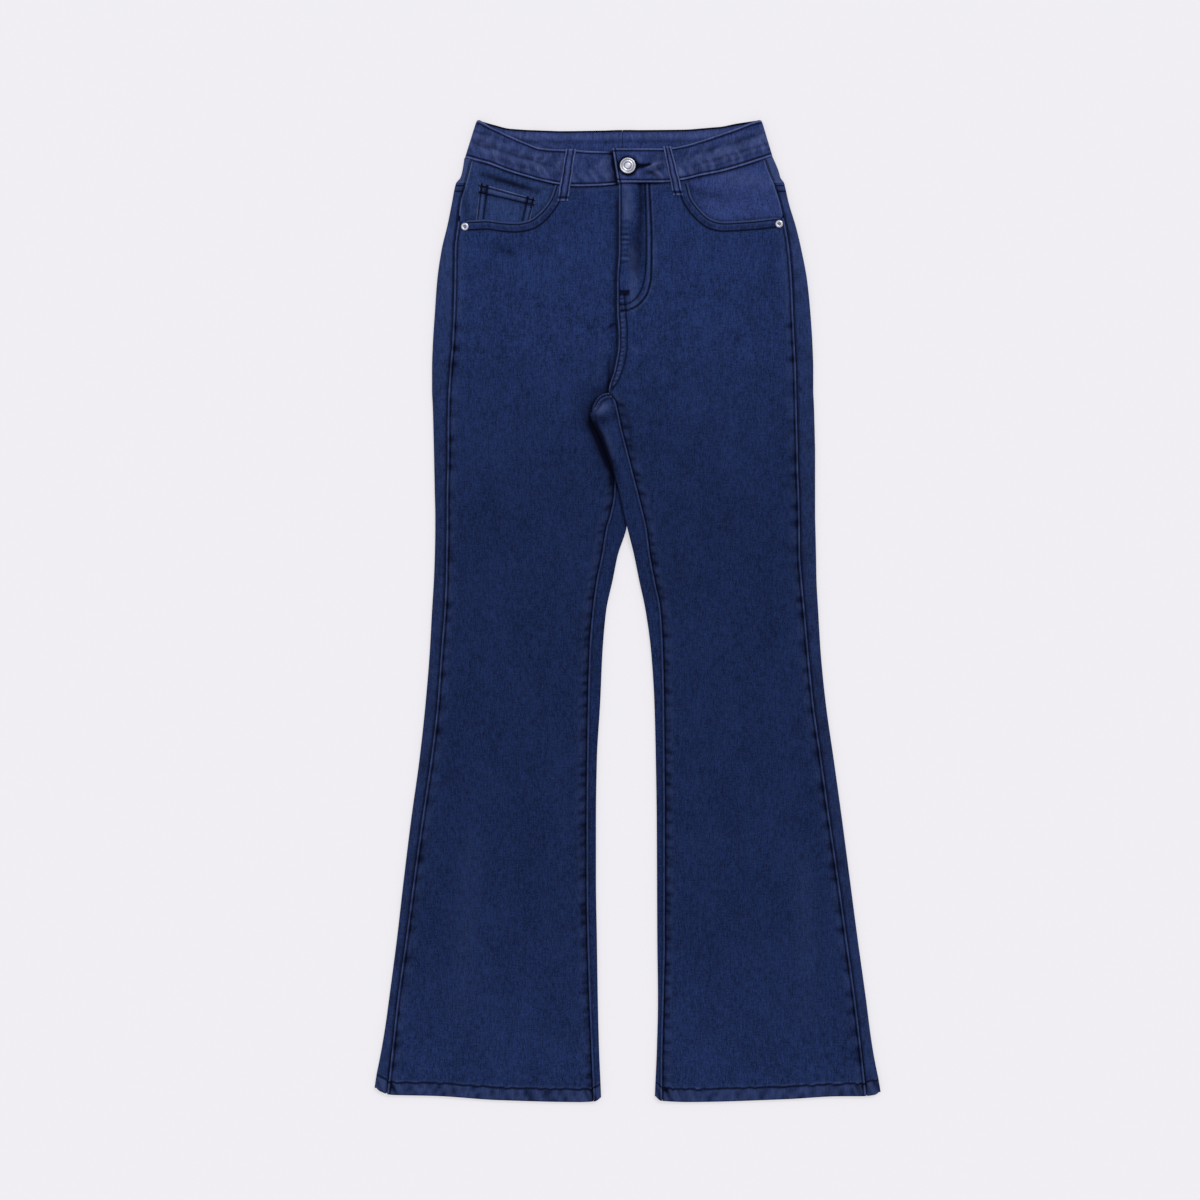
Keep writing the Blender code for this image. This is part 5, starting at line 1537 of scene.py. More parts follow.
class Waistband(Piece):
    """Half of the waistband, from its front end round the side to the centre back."""

    def grid(self) -> Grid:
        """The band's outer face."""
        form, side, edge = self.form, self.side, BAND_SIDE[self.side]
        downs = spaced((0, 0.12, 0.0125), (0.12, 0.88, 0.03), (0.88, 1, 0.0125))
        front, back = np.array(BAND_FRONT[side], float), BAND_BACK[side]
        reach = np.concatenate([[0], np.hypot(*np.diff(front[:, 2:], axis=0).T).cumsum()])
        read = [Curve(list(zip(reach, column))) for column in front.T]
        at = spaced((0, 6, 0.5), (6, reach[-1], 1.5))
        ends = [curve(at) for curve in read]
        radius = (BAND_TOP + BAND_SIDE_PUFF) / 2
        between, back_share = np.linspace(0, 1, 9)[1:-1], np.linspace(0, 1, 62)[1:]
        found = []
        for down in downs:
            x, y = (ends[i] * (1 - down) + ends[i + 2] * down for i in (0, 1))
            edge_x, edge_y = station(edge, down)
            turn_x = edge_x - side.out * radius * (1 - np.cos(FOLD_ANGLES))
            turn_y = edge_y - np.abs(turn_x - edge_x) * BAND_SIDE_SLOPE
            gap_x, gap_y = (line[-1] + (turn[0] - line[-1]) * between
                            for line, turn in ((x, turn_x), (y, turn_y)))
            height = Curve([station(s, down) for s in (edge, *back)])
            back_x = turn_x[-1] + (station(back[-1], down)[0] - turn_x[-1]) * back_share
            turn_z = radius + radius * np.sin(FOLD_ANGLES)
            back_z = form.recess(back_x, np.full(back_x.shape, BACK_LOOP_TOP_Y))
            found.append((
                np.concatenate([x, gap_x, turn_x, back_x]),
                np.concatenate([y, gap_y, turn_y, height(back_x)]),
                np.concatenate([form.band_top(side, x), form.band_top(side, gap_x), turn_z, back_z]),
            ))
        x, y, z = (np.array(part) for part in zip(*found))
        y -= 1.2 * bump(0, 2.4, x - edge[0]) * smooth(0.15, 0, downs)[:, None]
        up = np.concatenate([np.ones(len(at) + len(between)), np.sin(FOLD_ANGLES), -np.ones(len(back_share))])
        grid = Grid(x, y, z, up)
        self.relief(grid, (1 - downs)[:, None] * BAND_DEPTH + 0 * x)
        return grid

    def relief(self, grid: Grid, from_bottom: Array) -> None:
        """Rolled edges with their rows of stitching, and the soft folds that the doubled cloth rubs into,
        with painted shade in their hollows and fading and a painted highlight on their crests. The right band
        gets painted shadow beside the left band's lapped end.
        """
        x, y = grid.x, grid.y
        top = (grid.up > 0.3).astype(float)
        seed = self.side.pick(61, 71)
        uneven = 3 * waver(x, y, 8)
        slant = Puckers(seed, *BAND_REACH, 12)(x + 0.42 * y - 200 + uneven)
        lean = Puckers(seed + 1, *BAND_REACH, 15)(x - 0.6 * y + 290 + uneven)
        ticks = Puckers(seed + 5, *BAND_REACH, 6)(x)
        low, high = (top * bump(level, 7, from_bottom) for level in (9, 22))
        grid.wear += (1 - top) * (0.15 + 0.3 * ticks) * bump(28.5, 4, from_bottom)
        grid.shade += (1 - top) * (0.45 * bump(22, 2.2, from_bottom) + 1.5 * smooth(31.6, 33, from_bottom))
        grid.move(top * (0.35 * slant * low + 0.2 * lean * high))
        grid.wear += 0.6 * slant * low + 0.35 * lean * high
        grid.shade += 0.3 * (1 - slant) * low + 0.28 * (1 - lean) * high
        long = Puckers(seed + 2, 440, 560, 8)(y - 0.3 * np.abs(x) + 1.5 * waver(x, y, 1))
        zone = smooth(50, 100, np.abs(x - CENTRE_BACK_X)) * bump(17, 11, from_bottom)
        grid.move(-0.35 * top * long * zone)
        grid.shade += 0.6 * long * zone
        grid.wear += 0.3 * (1 - long) * zone
        grid.edge(from_bottom, row=2.7, lift=0.3, light=1)
        grid.edge(BAND_DEPTH - from_bottom, row=2.8, lift=0.2, light=0.95, on=0.2 + 0.8 * top)
        if self.side is Side.LEFT:
            self.lapped_end(grid, top)
        else:
            past_lap = x + 16.9 - 0.165 * (498.5 - y)
            grid.shade += top * (1.1 * bump(-1.4, 2.2, past_lap) + 0.35 * bump(-5, 5, past_lap))

    def lapped_end(self, grid: Grid, top: Array) -> None:
        """The left band's rolled end, the buttonhole's slit with painted shade in it, the folds that the
        button pulls, and a painted shadow round the button.
        """
        grid.edge(np.where(top > 0, np.abs(grid.x - grid.x[:, :1]), 99), row=2.8, lift=0.2, light=1)
        pulls = grid.blank()
        for row in BUTTONHOLE_FOLDS:
            pulls.fold(*row, tone=0.75)
        slit = distance_to(BUTTONHOLE, grid.x, grid.y)
        grid.move(top * (pulls.z - 0.8 * bump(0, 1.6, slit)))
        grid.wear += top * pulls.wear
        grid.shade += top * (pulls.shade + 1.5 * bump(0, 3.4 - 0.15 * np.clip(grid.x - 9, 0, 14.5), slit))
        grid.shade += top * bump(9.6, 1.8, np.hypot(grid.x - BUTTON_AT[0], grid.y - BUTTON_AT[1]))

    def build(self) -> bpy.types.Object:
        """Makes the band."""
        obj = shell(f"band_{self.side}", [self.grid()], BAND_WALL, self.finish, self.side is Side.LEFT)
        return place(obj, Slot.WAISTBAND, f"waistband_{self.side}")


class PocketFacing(Piece):
    """The cloth that shows in a front pocket's opening."""

    WIDTH, FOOT_Y = 109.0, 396.0

    def build(self) -> bpy.types.Object:
        """Makes the facing."""
        form, side = self.form, self.side
        down = np.linspace(0, 1, 56)[:, None]
        offset = np.concatenate([SEAM_COLUMNS, np.linspace(14, self.WIDTH, 60)[1:]])[None, :] / self.WIDTH
        y = np.full((len(down), offset.shape[1]), WAIST_Y)
        for _ in range(FITTINGS):
            start = self.edge("outseam", y) - side.out * SEAM_GAP / 2 - side.out * 2 * smooth(426.5, 425.5, y)
            x = start + (OPENING_EDGE[side][0][0] - side.out * 12 - start) * offset
            upper = form.front_waist[side](x) - SEAM_GAP
            y = upper + (self.FOOT_Y - upper) * down
        grid = Grid(x, y, form.facing_top(side, x, y))
        grid.edge(self.away("outseam", grid), row=0, lift=0.2, light=0.6)
        self.under_band(grid, 1, 1.4)
        for row in FACING_FOLDS[side]:
            grid.fold(*row)
        grid.shade += 0.7 * bump(0, 2.6, distance_to(smooth_path(OPENING_EDGE[side], 4), x, y))
        obj = shell(f"facing_{side}", [grid], WALL, self.finish, side is Side.RIGHT)
        return place(obj, Slot.DENIM, f"pocket_facing_{side}")


class CoinPocket(Piece):
    """The small pocket on the right facing."""

    HEIGHT, WIDTH = 52.0, 60.0

    def build(self) -> bpy.types.Object:
        """Makes the pocket with its doubled top edge and its two rows along each side."""
        upper_out, upper_in, lower_in, lower_out = COIN_CORNERS
        down = spaced((0, 0.3, 0.012), (0.3, 1, 0.05))[:, None]
        across = spaced((0, 0.14, 0.012), (0.14, 0.86, 0.04), (0.86, 1, 0.012))[None, :]
        start, end = station((*upper_out, *lower_out), down), station((*upper_in, *lower_in), down)
        x, y = (a + (b - a) * across for a, b in zip(start, end))
        grid = Grid(x, y, self.form.facing_top(self.side, x, y) + SEAM_GAP + COIN_WALL)
        from_top = down * self.HEIGHT + 0 * x
        from_side = np.minimum(across, 1 - across) * self.WIDTH + 0 * x
        grid.edge(from_top, row=COIN_ROWS["top"][0], lift=0.2, light=1.1)
        grid.edge(from_side, row=COIN_ROWS["side"][0], lift=0.1, light=0.8)
        grid.stitch(from_top - COIN_ROWS["top"][1], half=1, dark=1.2)
        grid.stitch(from_side - COIN_ROWS["side"][1], half=1, dark=1.2)
        corner = window(0, 9.4, 1, from_top) * window(1.5, 8.2, 0.8, from_side)
        grid.shade += 0.7 * corner * (0.8 + 0.4 * waver(x, y, 4))
        grid.wear += 0.35 * bump(5.2, 1.6, from_top) + 0.2 * bump(4.4, 1.2, from_side)
        grid.shade += 0.3 * smooth(16, 11, from_top) * smooth(8, 10, from_top)
        obj = shell("coin_pocket_piece", [grid], COIN_WALL, self.finish, True)
        return place(obj, Slot.DENIM, "coin_pocket")


class PocketEdge(Piece):
    """The turned edge of a front pocket's opening, held by two rows of stitching."""

    WELT_WALL = 0.7
    STEP = 1.4

    def line(self) -> Path:
        """The opening's edge, from the waistband to the outseam."""
        return smooth_path(OPENING_EDGE[self.side], self.STEP)

    def inset(self, offset: float) -> Path:
        """The line on the panel that runs beside the opening's edge."""
        return beside(self.line(), -self.side.out * offset)

    def build(self) -> bpy.types.Object:
        """Makes the edge as a closed band over the panel's cut."""
        line, side = np.array(self.line()), self.side
        inward = spaced((0.3, 4, 0.45), (4, 8.2, 1), (8.2, 11.2, 0.45))
        offsets = np.concatenate([[-0.25, -0.35, -0.1], inward])
        x, y = np.array([self.inset(offset) for offset in offsets]).T
        near = np.clip(offsets / 3, 0, 1)[None, :]
        on_edge = self.form.front_top(side, line[:, :1] + 0 * x, line[:, 1:] + 0 * x)
        grid = Grid(x, y, self.form.front_top(side, x, y) * near + on_edge * (1 - near) + 0.28)
        grid.z[:, :3] -= (2, 1.2, 0.6)
        away = offsets[None, :] + 0 * x
        along = np.arange(len(line))[:, None] * self.STEP
        rope = self.puckers(71, 0, 130, 6)(along + 0.5 * away)
        grid.move(0.3 * rope * bump(5.8, 2.4, away) - 0.25 * bump(0.3, 0.4, away))
        grid.wear += 0.25 * rope * bump(5.4, 2.2, away) + bump(0.7, 0.8, away)
        grid.wear += 0.45 * bump(3.3, 0.6, away) + 0.25 * bump(8.3, 0.6, away)
        grid.shade += (0.12 + 0.35 * (1 - rope)) * bump(6.4, 2.4, away)
        uneven = 0.15 * waver(x, y, 5)
        for row, half in zip(POCKET_ROWS, (0.95, 1)):
            grid.stitch(away - row + uneven, half=half, dark=1.35)
        grid.move(-0.85 * smooth(10.1, 11, away))
        grid.wear += 0.3 * bump(10.9, 0.5, away)
        obj = shell(f"pocket_edge_{side}", [grid], self.WELT_WALL, self.finish, side is Side.LEFT)
        return place(obj, Slot.DENIM)


class FrontLoop(Piece):
    """A belt loop over the front waistband, sewn down below it."""

    def middle(self, down: Array | float) -> tuple[Array, Array]:
        """The loop's centre line at a share of the way down."""
        return station(FRONT_LOOPS[self.side], down)

    def width(self, down: Array | float) -> Array:
        """The loop's width at a share of the way down: pulled narrow at its top."""
        return FRONT_LOOPS[self.side][4] * (1 - LOOP_TAPER[self.side] * (1 - down) ** 2)

    def build(self) -> bpy.types.Object:
        """Makes the loop with rolled sides and a row of stitching beside each."""
        form, side = self.form, self.side
        down, across = np.linspace(0, 1, 56)[:, None], np.linspace(-0.5, 0.5, 25)[None, :]
        (centre, y), width = self.middle(down), self.width(down)
        x, y = centre + width * across + 0.35 * waver(centre, y, 2), y + 0 * across
        on_band = smooth(-5, 1, y - float(form.front_waist[side](FRONT_LOOPS[side][2])))
        flat = form.band_top(side, x) * on_band + form.front_top(side, x, y) * (1 - on_band)
        grid = Grid(x, y, flat.max(axis=1)[:, None] + SEAM_GAP + LOOP_WALL + 0 * x)
        from_side = width * (0.5 - np.abs(across)) + 0 * x
        grid.edge(from_side, row=LOOP_ROW, lift=0, light=1)
        grid.wear += 0.5 * bump(width / 2, 1.5, from_side) * (0.7 + 0.3 * waver(x, y, 9))
        grid.move(0.25 * bump(width / 2, 2.4, from_side))
        ends = np.minimum(down, 1 - down) * LOOP_LENGTH + 0 * x
        grid.move(-0.5 * smooth(1.2, 0, ends))
        grid.wear += 0.8 * bump(0.8, 0.8, ends)
        grid.stitch(LOOP_LENGTH * (1 - down) - 3.6 + 0 * x, depth=0.4, half=1.4, dark=0.9)
        obj = shell(f"loop_front_{side}", [grid], LOOP_WALL, self.finish, True)
        return place(obj, Slot.WAISTBAND, f"belt_loop_front_{side}")


@dataclass
class BackLoop:
    """A belt loop on the underside, pressed against the table."""

    name: str
    finish: bpy.types.Material

    def build(self) -> bpy.types.Object:
        """Makes the loop."""
        across, down = np.linspace(-0.5, 0.5, 19)[None, :], np.linspace(0, 1, 30)[:, None]
        x = BACK_LOOP_X[self.name] + BACK_LOOP_WIDTH * across + 0 * down
        y = BACK_LOOP_TOP_Y + (BACK_LOOP_BOTTOM_Y - BACK_LOOP_TOP_Y) * down + 0 * x
        grid = Grid(x, y, np.zeros(x.shape), -1)
        grid.edge(BACK_LOOP_WIDTH * (0.5 - np.abs(across)) + 0 * x, row=LOOP_ROW, lift=0, light=1)
        from_end = np.minimum(down, 1 - down) * (BACK_LOOP_TOP_Y - BACK_LOOP_BOTTOM_Y) + 0 * x
        grid.edge(from_end, row=0, lift=0, light=0.6)
        obj = shell(f"loop_{self.name}", [grid], LOOP_WALL, self.finish, False)
        return place(obj, Slot.WAISTBAND, f"belt_loop_{self.name}")


class BackPocket(Piece):
    """A patch pocket on the underside, pressed against the table."""

    def at(self, down: Array | float, across: Array | float) -> tuple[Array, Array]:
        """The pocket's points, a share of the way down and across."""
        half = (BACK_POCKET_WIDTH["top"] * (1 - down) + BACK_POCKET_WIDTH["bottom"] * down) / 2
        tip = (BACK_POCKET_POINT - BACK_POCKET_SIDE) * down**4 * (1 - np.abs(across))
        return BACK_POCKET_X[self.side] + half * across, BACK_POCKET_TOP_Y - BACK_POCKET_SIDE * down - tip

    def build(self) -> bpy.types.Object:
        """Makes the pocket with a plain double row all round and a hemmed mouth."""
        edge = spaced((0, 0.16, 0.008), (0.16, 1, 0.06))
        across = np.concatenate([edge - 1, (1 - edge[::-1])[1:]])[None, :]
        down = spaced((0, 0.14, 0.008), (0.14, 0.88, 0.06), (0.88, 1, 0.008))[:, None]
        x, y = self.at(down, across)
        grid = Grid(x, y, np.zeros(x.shape), -1)
        rim = np.minimum((1 - np.abs(across)) * POCKET_HALF, (1 - down) * POCKET_FOOT) + 0 * x
        mouth = down * POCKET_MOUTH + 0 * x
        grid.edge(rim, row=BACK_POCKET_ROWS[0], lift=0, light=0.9)
        grid.stitch(rim - BACK_POCKET_ROWS[1])
        grid.wear += 0.3 * bump(5, 1.5, rim)
        grid.edge(mouth, row=0, lift=0, light=0.9)
        grid.stitch(mouth - MOUTH_ROW)
        obj = shell(f"back_pocket_piece_{self.side}", [grid], BACK_POCKET_WALL, self.finish, False)
        return place(obj, Slot.DENIM, f"back_pocket_{self.side}")


class ZipStrip(Piece):
    """The closed zip under the fly's lap: a plain strip of woven tape."""

    TOP_Y, FOOT_Y = 456.0, 347.0
    WIDTH, TAPE_WALL = 18.0, 1.2

    def build(self) -> bpy.types.Object:
        """Makes the strip."""
        y = np.linspace(self.TOP_Y, self.FOOT_Y, 60)[:, None]
        start = self.form.edge(Side.RIGHT, "inseam", y) + UNDERLAP_WIDTH + 2
        x = start + self.WIDTH * np.linspace(0, 1, 12)[None, :]
        y = y + 0 * x
        grid = Grid(x, y, self.form.front_top(self.side, x, y) - WALL - 0.6)
        return place(shell("zip_tape", [grid], self.TAPE_WALL, self.finish, True), Slot.ZIP, "fly_zip")


class Lathe:
    """A Geometry Nodes tree that turns a profile round an axis."""

    INPUTS = (("Profile", "Geometry"), ("Steps", "Int"), ("Bore", "Float"), ("Metal", "Material"))
    BORE, STEPS = 0.02, 64

    def __init__(self) -> None:
        """Builds the tree."""
        nodes, given, self.sockets = grouped("turned_metal", self.INPUTS, "Turned")
        around = {"Resolution": given["Steps"], "Radius": given["Bore"]}
        rail = nodes.add("GeometryNodeCurvePrimitiveCircle", around).outputs[0]
        line = nodes.add("GeometryNodeMeshToCurve", {"Mesh": given["Profile"]}).outputs[0]
        swept = nodes.add("GeometryNodeCurveToMesh", {"Curve": rail, "Profile Curve": line}).outputs[0]
        closed = nodes.add("GeometryNodeMergeByDistance", {"Geometry": swept, "Distance": 0.00002})
        realized(nodes, closed.outputs[0], given["Metal"])
        self.tree = nodes.tree

    def turn(self, name: str, profile: Path, metal: bpy.types.Material) -> bpy.types.Object:
        """Turns a profile of (radius, height) points into one closed plain mesh."""
        points = [((radius - self.BORE) * MM, -height * MM, 0) for radius, height in profile]
        obj = linked(name, mesh_of(name, points, [(i, i + 1) for i in range(len(points) - 1)]))
        given = {"Steps": self.STEPS, "Bore": self.BORE * MM, "Metal": metal}
        modified(obj, "NODES", node_group=self.tree, **{self.sockets[key]: given[key] for key in given})
        welded(obj.data, 3e-5, recalculate=True)
        return obj


# Profiles of the turned metal, as radius and height, and its grooves that get painted shade, as radius and
# half width.
BUTTON_PROFILE = (
    (0, 2.2), (1.2, 2.25), (2.6, 2.2), (3.05, 2.05), (3.35, 1.65), (3.7, 1.5), (4.6, 1.5), (4.9, 1.7),
    (5.4, 1.7), (5.7, 1.5), (6.5, 1.5), (6.85, 1.7), (7.1, 2.05), (7.6, 2.3), (8.1, 2.15), (8.45, 1.75),
    (BUTTON_DIAMETER / 2, 1.2), (8.5, 0.7), (8.1, 0.3), (7.4, 0), (0, 0),
)
BUTTON_GROOVES = ((3.55, 0.35), (4.35, 0.25), (6.2, 0.55))
RIVET_PROFILE = (
    (0, 0.25), (0.5, 0.22), (0.9, 0.3), (1.3, 0.6), (1.8, 1.05), (2.4, 1.35), (3, 1.35), (3.5, 1.15),
    (3.9, 0.85), (RIVET_DIAMETER / 2, 0.4), (4.1, 0.15), (3.9, 0), (0, 0),
)
RIVET_GROOVES = ((0.9, 0.9),)


@dataclass
class TurnedMetal:
    """The tack button and the rivets."""

    form: Form
    finish: bpy.types.Material
    lathe: Lathe = field(default_factory=Lathe)

    def seat(self, name: str, node: str, profile: Path, grooves: Path, spot: Vector,
             tilt: tuple[float, float] = (0, 0)) -> None:
        """Turns a piece, paints shade into its grooves and seats it on the cloth.

        Args:
            name: The piece's name.
            node: The node that it stands for.
            profile: The (radius, height) points that are turned.
            grooves: The radius and the half width of each groove that gets painted shade.
            spot: The middle of its underside.
            tilt: How far it leans with the cloth, about X and about Y.
        """
        obj = self.lathe.turn(name, profile, self.finish)
        radii = np.array([math.hypot(v.co.x, v.co.y) for v in obj.data.vertices]) / MM
        paint(obj.data, "shade", sum(bump(radius, half, radii) for radius, half in grooves))
        turn = Matrix.Rotation(tilt[1], 4, "Y") @ Matrix.Rotation(tilt[0], 4, "X")
        obj.data.transform(Matrix.Translation(spot * MM) @ turn)
        place(dress(obj, self.finish, 60), Slot.NICKEL, node)

    def build(self) -> None:
        """Makes the button on the band, and each rivet level with the cloth round it."""
        form = self.form
        spot = Vector((*BUTTON_AT, float(form.band_top(Side.LEFT, BUTTON_X)) + SEAM_GAP))
        self.seat("tack_button", "button", BUTTON_PROFILE, BUTTON_GROOVES, spot)
        reach = RIVET_DIAMETER / 2 - 0.2
        for side in Side:
            x, y = RIVETS[side]
            z = form.front_top(side, x + np.array([-reach, reach, 0, 0]), y + np.array([0, 0, -reach, reach]))
            tilt = math.atan((z[3] - z[2]) / (2 * reach)), -math.atan((z[1] - z[0]) / (2 * reach))
            spot = Vector((x, y, float(form.front_top(side, x, y)) + 0.5))
            self.seat(f"pocket_rivet_{side}", f"rivet_{side}", RIVET_PROFILE, RIVET_GROOVES, spot, tilt)


@dataclass
class Stitching:
    """Every row of stitching on the garment."""

    form: Form
    box: SewingBox

    def fly(self) -> None:
        """The fly's edge row and its curved double row, the seam's second row, and the flap's rows."""
        names = ("front_panel_left", "back_panel_left")
        down = np.linspace(463, CROTCH_Y + 1, 90)
        self.box.row("fly", names, list(zip(self.form.edge(Side.LEFT, "inseam", down) + 2.5, down)))
        for line in (FLY_OUTER_ROW, FLY_INNER_ROW, RISE_ROW, *FLAP_ROWS):
            self.box.row("fly", names, smooth_path(line))
        self.box.tack(names, (-4.6, 342.6), 9, 3.2)
        self.box.tack(names, (-6.5, 327), 6, 2.2, 90)

    def pockets(self) -> None:
        """The two rows along each pocket's edge, and the coin pocket's rows."""
        for side in Side:
            for row in POCKET_ROWS:
                line = PocketEdge(self.form, side).inset(row)
                self.box.row("pockets", (f"pocket_edge_{side}", f"front_panel_{side}"), line)
        names = ("coin_pocket_piece",)
        upper_out, upper_in, lower_in, lower_out = (np.array(corner) for corner in COIN_CORNERS)
        for inset in COIN_ROWS["top"]:
            self.box.row("coin_pocket", names, [upper_out + (0.5, -inset), upper_in + (-0.5, -inset)])
        for upper, lower, inward in ((upper_out, lower_out, 1), (upper_in, lower_in, -1)):
            for inset in COIN_ROWS["side"]:
                ends = [upper + (inward * inset, -1.5), lower + (inward * inset, 0.5)]
                self.box.row("coin_pocket", names, ends)
            self.box.tack(names, (upper[0] + inward * 5.2, upper[1] - 6.5), 7, 3.4, 90)

    def waistband(self) -> None:
        """Rows beside the band's edges, across its lapped end, and along its outside at the back."""
        for side in Side:
            names, edge = (f"band_{side}",), BAND_SIDE[side]
            rows = (*BAND_FRONT[side], edge)[side.pick(1, 0):]
            for i, inset in ((0, -2.8), (2, 2.7)):
                line = [p for p in smooth_path([row[i:i + 2] for row in rows]) if abs(p[0] - edge[i]) > 4]
                self.box.row("waistband", names, beside(line, inset * side.out))
                line = smooth_path([(row[i], row[i + 1] + inset) for row in BAND_BACK[side]])
                self.box.row("waistband", names, line, under=True)
        top_x, top_y, bottom_x, bottom_y = BAND_FRONT[Side.LEFT][0]
        self.box.row("waistband", ("band_left",), [(top_x + 2.8, top_y - 2), (bottom_x + 2.8, bottom_y + 2)])

    def loops(self) -> None:
        """Two rows along each belt loop. A bartack holds a front loop's foot, and both ends of the others."""
        down = np.linspace(0.02, 0.985, 8)
        for side in Side:
            names, loop = (f"loop_front_{side}",), FrontLoop(self.form, side)
            x, y = loop.middle(down)
            for sign in (-1, 1):
                self.box.row("loops", names, list(zip(x + sign * (loop.width(down) / 2 - LOOP_ROW), y)))
            self.box.tack(names, loop.middle(0.935), loop.width(1) - 2.5, 2)
        for name, x in BACK_LOOP_X.items():
            names = (f"loop_{name}",)
            for across in (x - BACK_LOOP_WIDTH / 2 + LOOP_ROW, x + BACK_LOOP_WIDTH / 2 - LOOP_ROW):
                ends = [(across, BACK_LOOP_TOP_Y - 1), (across, BACK_LOOP_BOTTOM_Y + 1)]
                self.box.row("loops", names, ends, under=True)
            for y in (BACK_LOOP_TOP_Y - 3, BACK_LOOP_BOTTOM_Y + 3):
                self.box.tack(names, (x, y), BACK_LOOP_WIDTH - 2.5, 2, under=True)

    def hems(self) -> None:
        """One row round each hem."""
        form = self.form
        for side in Side:
            outer, inner = (form.edge(side, line, HEM_STITCH_Y) for line in ("outer", "inner"))
            x = np.linspace(outer - side.out * 1.5, inner + side.out * 1.5, 220)
            line = list(zip(x, form.hem_line(side, x) + Piece(form, side).hem_row(x)[0]))
            for under in (False, True):
                self.box.row("hems", (f"front_panel_{side}", f"back_panel_{side}"), line, under=under)

    def back(self) -> None:
        """The yoke's, the back pockets' and the seat seam's double rows."""
        form = self.form
        for side in Side:
            out, names = side.out, (f"back_panel_{side}",)
            x = np.linspace(form.edge(side, "outer", YOKE_SIDE_Y - 5) - out * 5, CENTRE_BACK_X + out * 2, 80)
            strip = form.edge(side, "outseam", YOKE_SIDE_Y - 4) + out * np.linspace(0, 12, 8)
            for inset in (2.6, 8.8):
                self.box.row("back", names, list(zip(x, form.yoke_seam(side, x) - inset)), under=True)
                self.box.row("back", names, [(v, YOKE_SIDE_Y - inset) for v in strip])
            self.pocket(side)
        down = np.linspace(482, 262, 90)
        for inset in (-2.4, -8.4):
            line = list(zip(form.edge(Side.RIGHT, "inner", down) + inset, down))
            self.box.row("back", ("back_panel_right", "yoke_piece_right"), line, under=True)

    def pocket(self, side: Side) -> None:
        """A back pocket's double row and the row across its mouth."""
        names, pocket = (f"back_pocket_piece_{side}",), BackPocket(self.form, side)
        share = np.linspace(0, 1, 30)
        for inset in BACK_POCKET_ROWS:
            u, v = 1 - inset / POCKET_HALF, 1 - inset / POCKET_FOOT
            ends = [(0.02, -u), (v, -u), (v, 0), (v, u), (0.02, u)]
            line = [point for (d1, a1), (d2, a2) in zip(ends, ends[1:])
                    for point in zip(*pocket.at(d1 + (d2 - d1) * share, a1 + (a2 - a1) * share))]
            self.box.row("back", names, line, under=True)
        mouth = [pocket.at(MOUTH_ROW / POCKET_MOUTH, across) for across in (-0.98, 0.98)]
        self.box.row("back", names, mouth, under=True)

    def outseams(self) -> None:
        """The row beside the top of each outseam."""
        down = np.linspace(486, 323, 70)
        for side in Side:
            line = list(zip(self.form.edge(side, "outseam", down) + side.out * 1.6, down))
            self.box.row("outseams", (f"back_panel_{side}", f"yoke_piece_{side}"), line)

    def build(self, tool: StitchTool, thread: bpy.types.Material) -> None:
        """Lays and sews every row."""
        for rows in (self.fly, self.pockets, self.waistband, self.loops, self.hems, self.back, self.outseams):
            rows()
        self.box.sew_all(tool, thread)


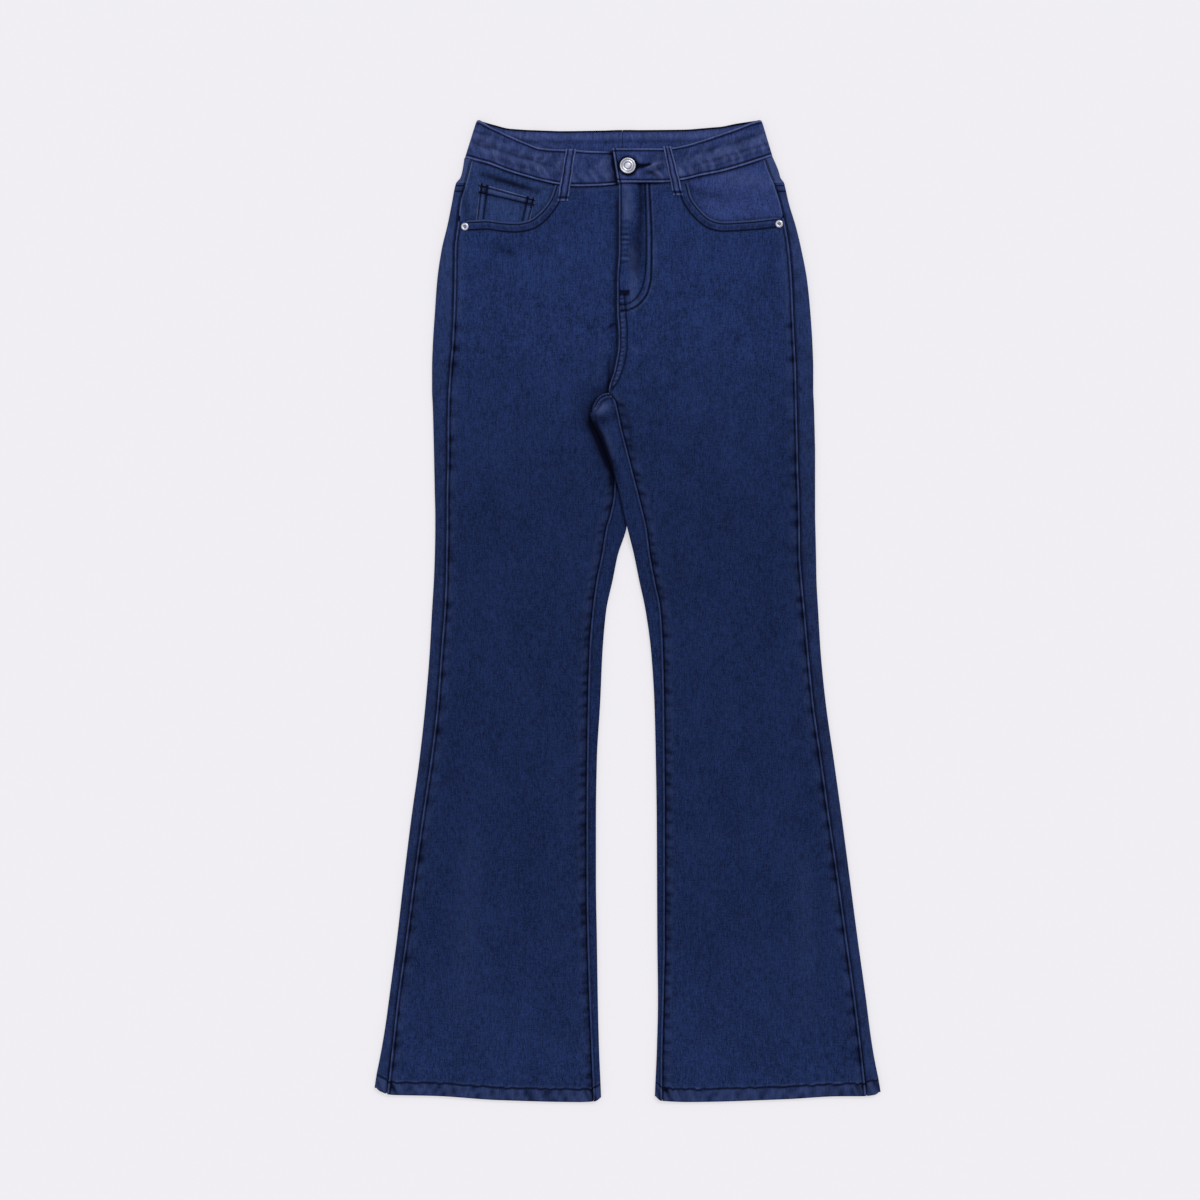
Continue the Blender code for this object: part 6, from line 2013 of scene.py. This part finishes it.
@dataclass(frozen=True)
class Studio:
    """The pale floor, the even light and the camera straight above. Scale is millimetres to a pixel."""

    LAMPS = (("key", (0.5, 0.9, 1.3), 1.15, 24), ("fill", (-0.7, -0.2, 1.5), 0.45, 60))
    FLOOR_Z, FLOOR_HALF = -0.0006, 6.0

    scale: float = 1.08
    pixels: int = 1200
    height: float = 3.0
    sensor: float = 36.0
    aim: tuple[float, float] = (-0.0302, 0.0116)
    pale: Colour = (0.863, 0.847, 0.887)
    glow: float = 0.6
    backdrop: float = 0.6

    def build(self) -> None:
        """Makes the floor, the light and the camera."""
        scene = bpy.context.scene
        corners = [(x * self.FLOOR_HALF, y * self.FLOOR_HALF, self.FLOOR_Z)
                   for x, y in ((-1, -1), (1, -1), (1, 1), (-1, 1))]
        floor = linked("floor", mesh_of("floor", corners, faces=[(0, 1, 2, 3)]))
        floor.data.materials.append(Plain("pale_floor", self.pale, self.glow).build())
        world = bpy.data.worlds.new("studio")
        world.use_nodes = True
        around = world.node_tree.nodes["Background"]
        Nodes(world.node_tree).feed(around, {"Color": (1, 1, 1, 1), "Strength": self.backdrop})
        scene.world = world
        scene.view_settings.view_transform = "Standard"
        for row in self.LAMPS:
            self.lamp(*row)
        data = bpy.data.cameras.new("camera")
        data.sensor_width = self.sensor
        data.lens = self.sensor * self.height / (self.pixels * self.scale * MM)
        scene.camera = linked("camera", data)
        scene.camera.location = (*self.aim, self.height)

    def lamp(self, name: str, toward: tuple[float, float, float], strength: float, soft: float) -> None:
        """A soft light from far away, so that it is as strong at the waist as at the hems."""
        data = bpy.data.lights.new(name, "SUN")
        data.angle = math.radians(soft)
        data.energy = strength
        lamp = linked(name, data)
        lamp.location = toward
        lamp.rotation_euler = (-Vector(toward)).to_track_quat("-Z", "Y").to_euler()


def main() -> None:
    """Builds every piece in order."""
    logging.basicConfig(level=logging.INFO, format="%(name)s: %(message)s")
    form = Form()
    denim = Denim("denim", (0.0088, 0.0182, 0.0665), (0.048, 0.070, 0.180)).build()
    band = Denim("denim_band", (0.0225, 0.0390, 0.136), (0.090, 0.118, 0.28), 0.9, 2, 0, 0).build()
    tones = {Side.RIGHT: (0.0192, 0.0365, 0.116), Side.LEFT: (0.0240, 0.0405, 0.142)}
    facing = {side: Denim(f"denim_facing_{side}", tones[side], (0.085, 0.115, 0.26), 0.8, 1.5, 0, 0).build()
              for side in Side}
    thread = Thread("thread", (0.0035, 0.0065, 0.028)).build()
    nickel = Nickel("nickel", (0.66, 0.67, 0.72), 0.34).build()
    tape = Plain("zip_tape", (0.02, 0.025, 0.05)).build()
    made = []
    for side in Side:
        for kind, finish in (
            (BackPanel, denim), (Yoke, denim), (FrontPanel, denim), (PocketFacing, facing[side]),
            (PocketEdge, denim), (Waistband, band), (FrontLoop, band), (BackPocket, denim),
        ):
            made.append(kind(form, side, finish).build())
    made += [BackLoop(name, band).build() for name in BACK_LOOP_X]
    made.append(CoinPocket(form, Side.RIGHT, facing[Side.RIGHT]).build())
    made.append(ZipStrip(form, Side.LEFT, tape).build())
    TurnedMetal(form, nickel).build()
    pieces = {obj.name: obj for obj in made}
    Stitching(form, SewingBox(pieces)).build(StitchTool(), thread)
    Studio().build()


if __name__ == "__main__":
    main()
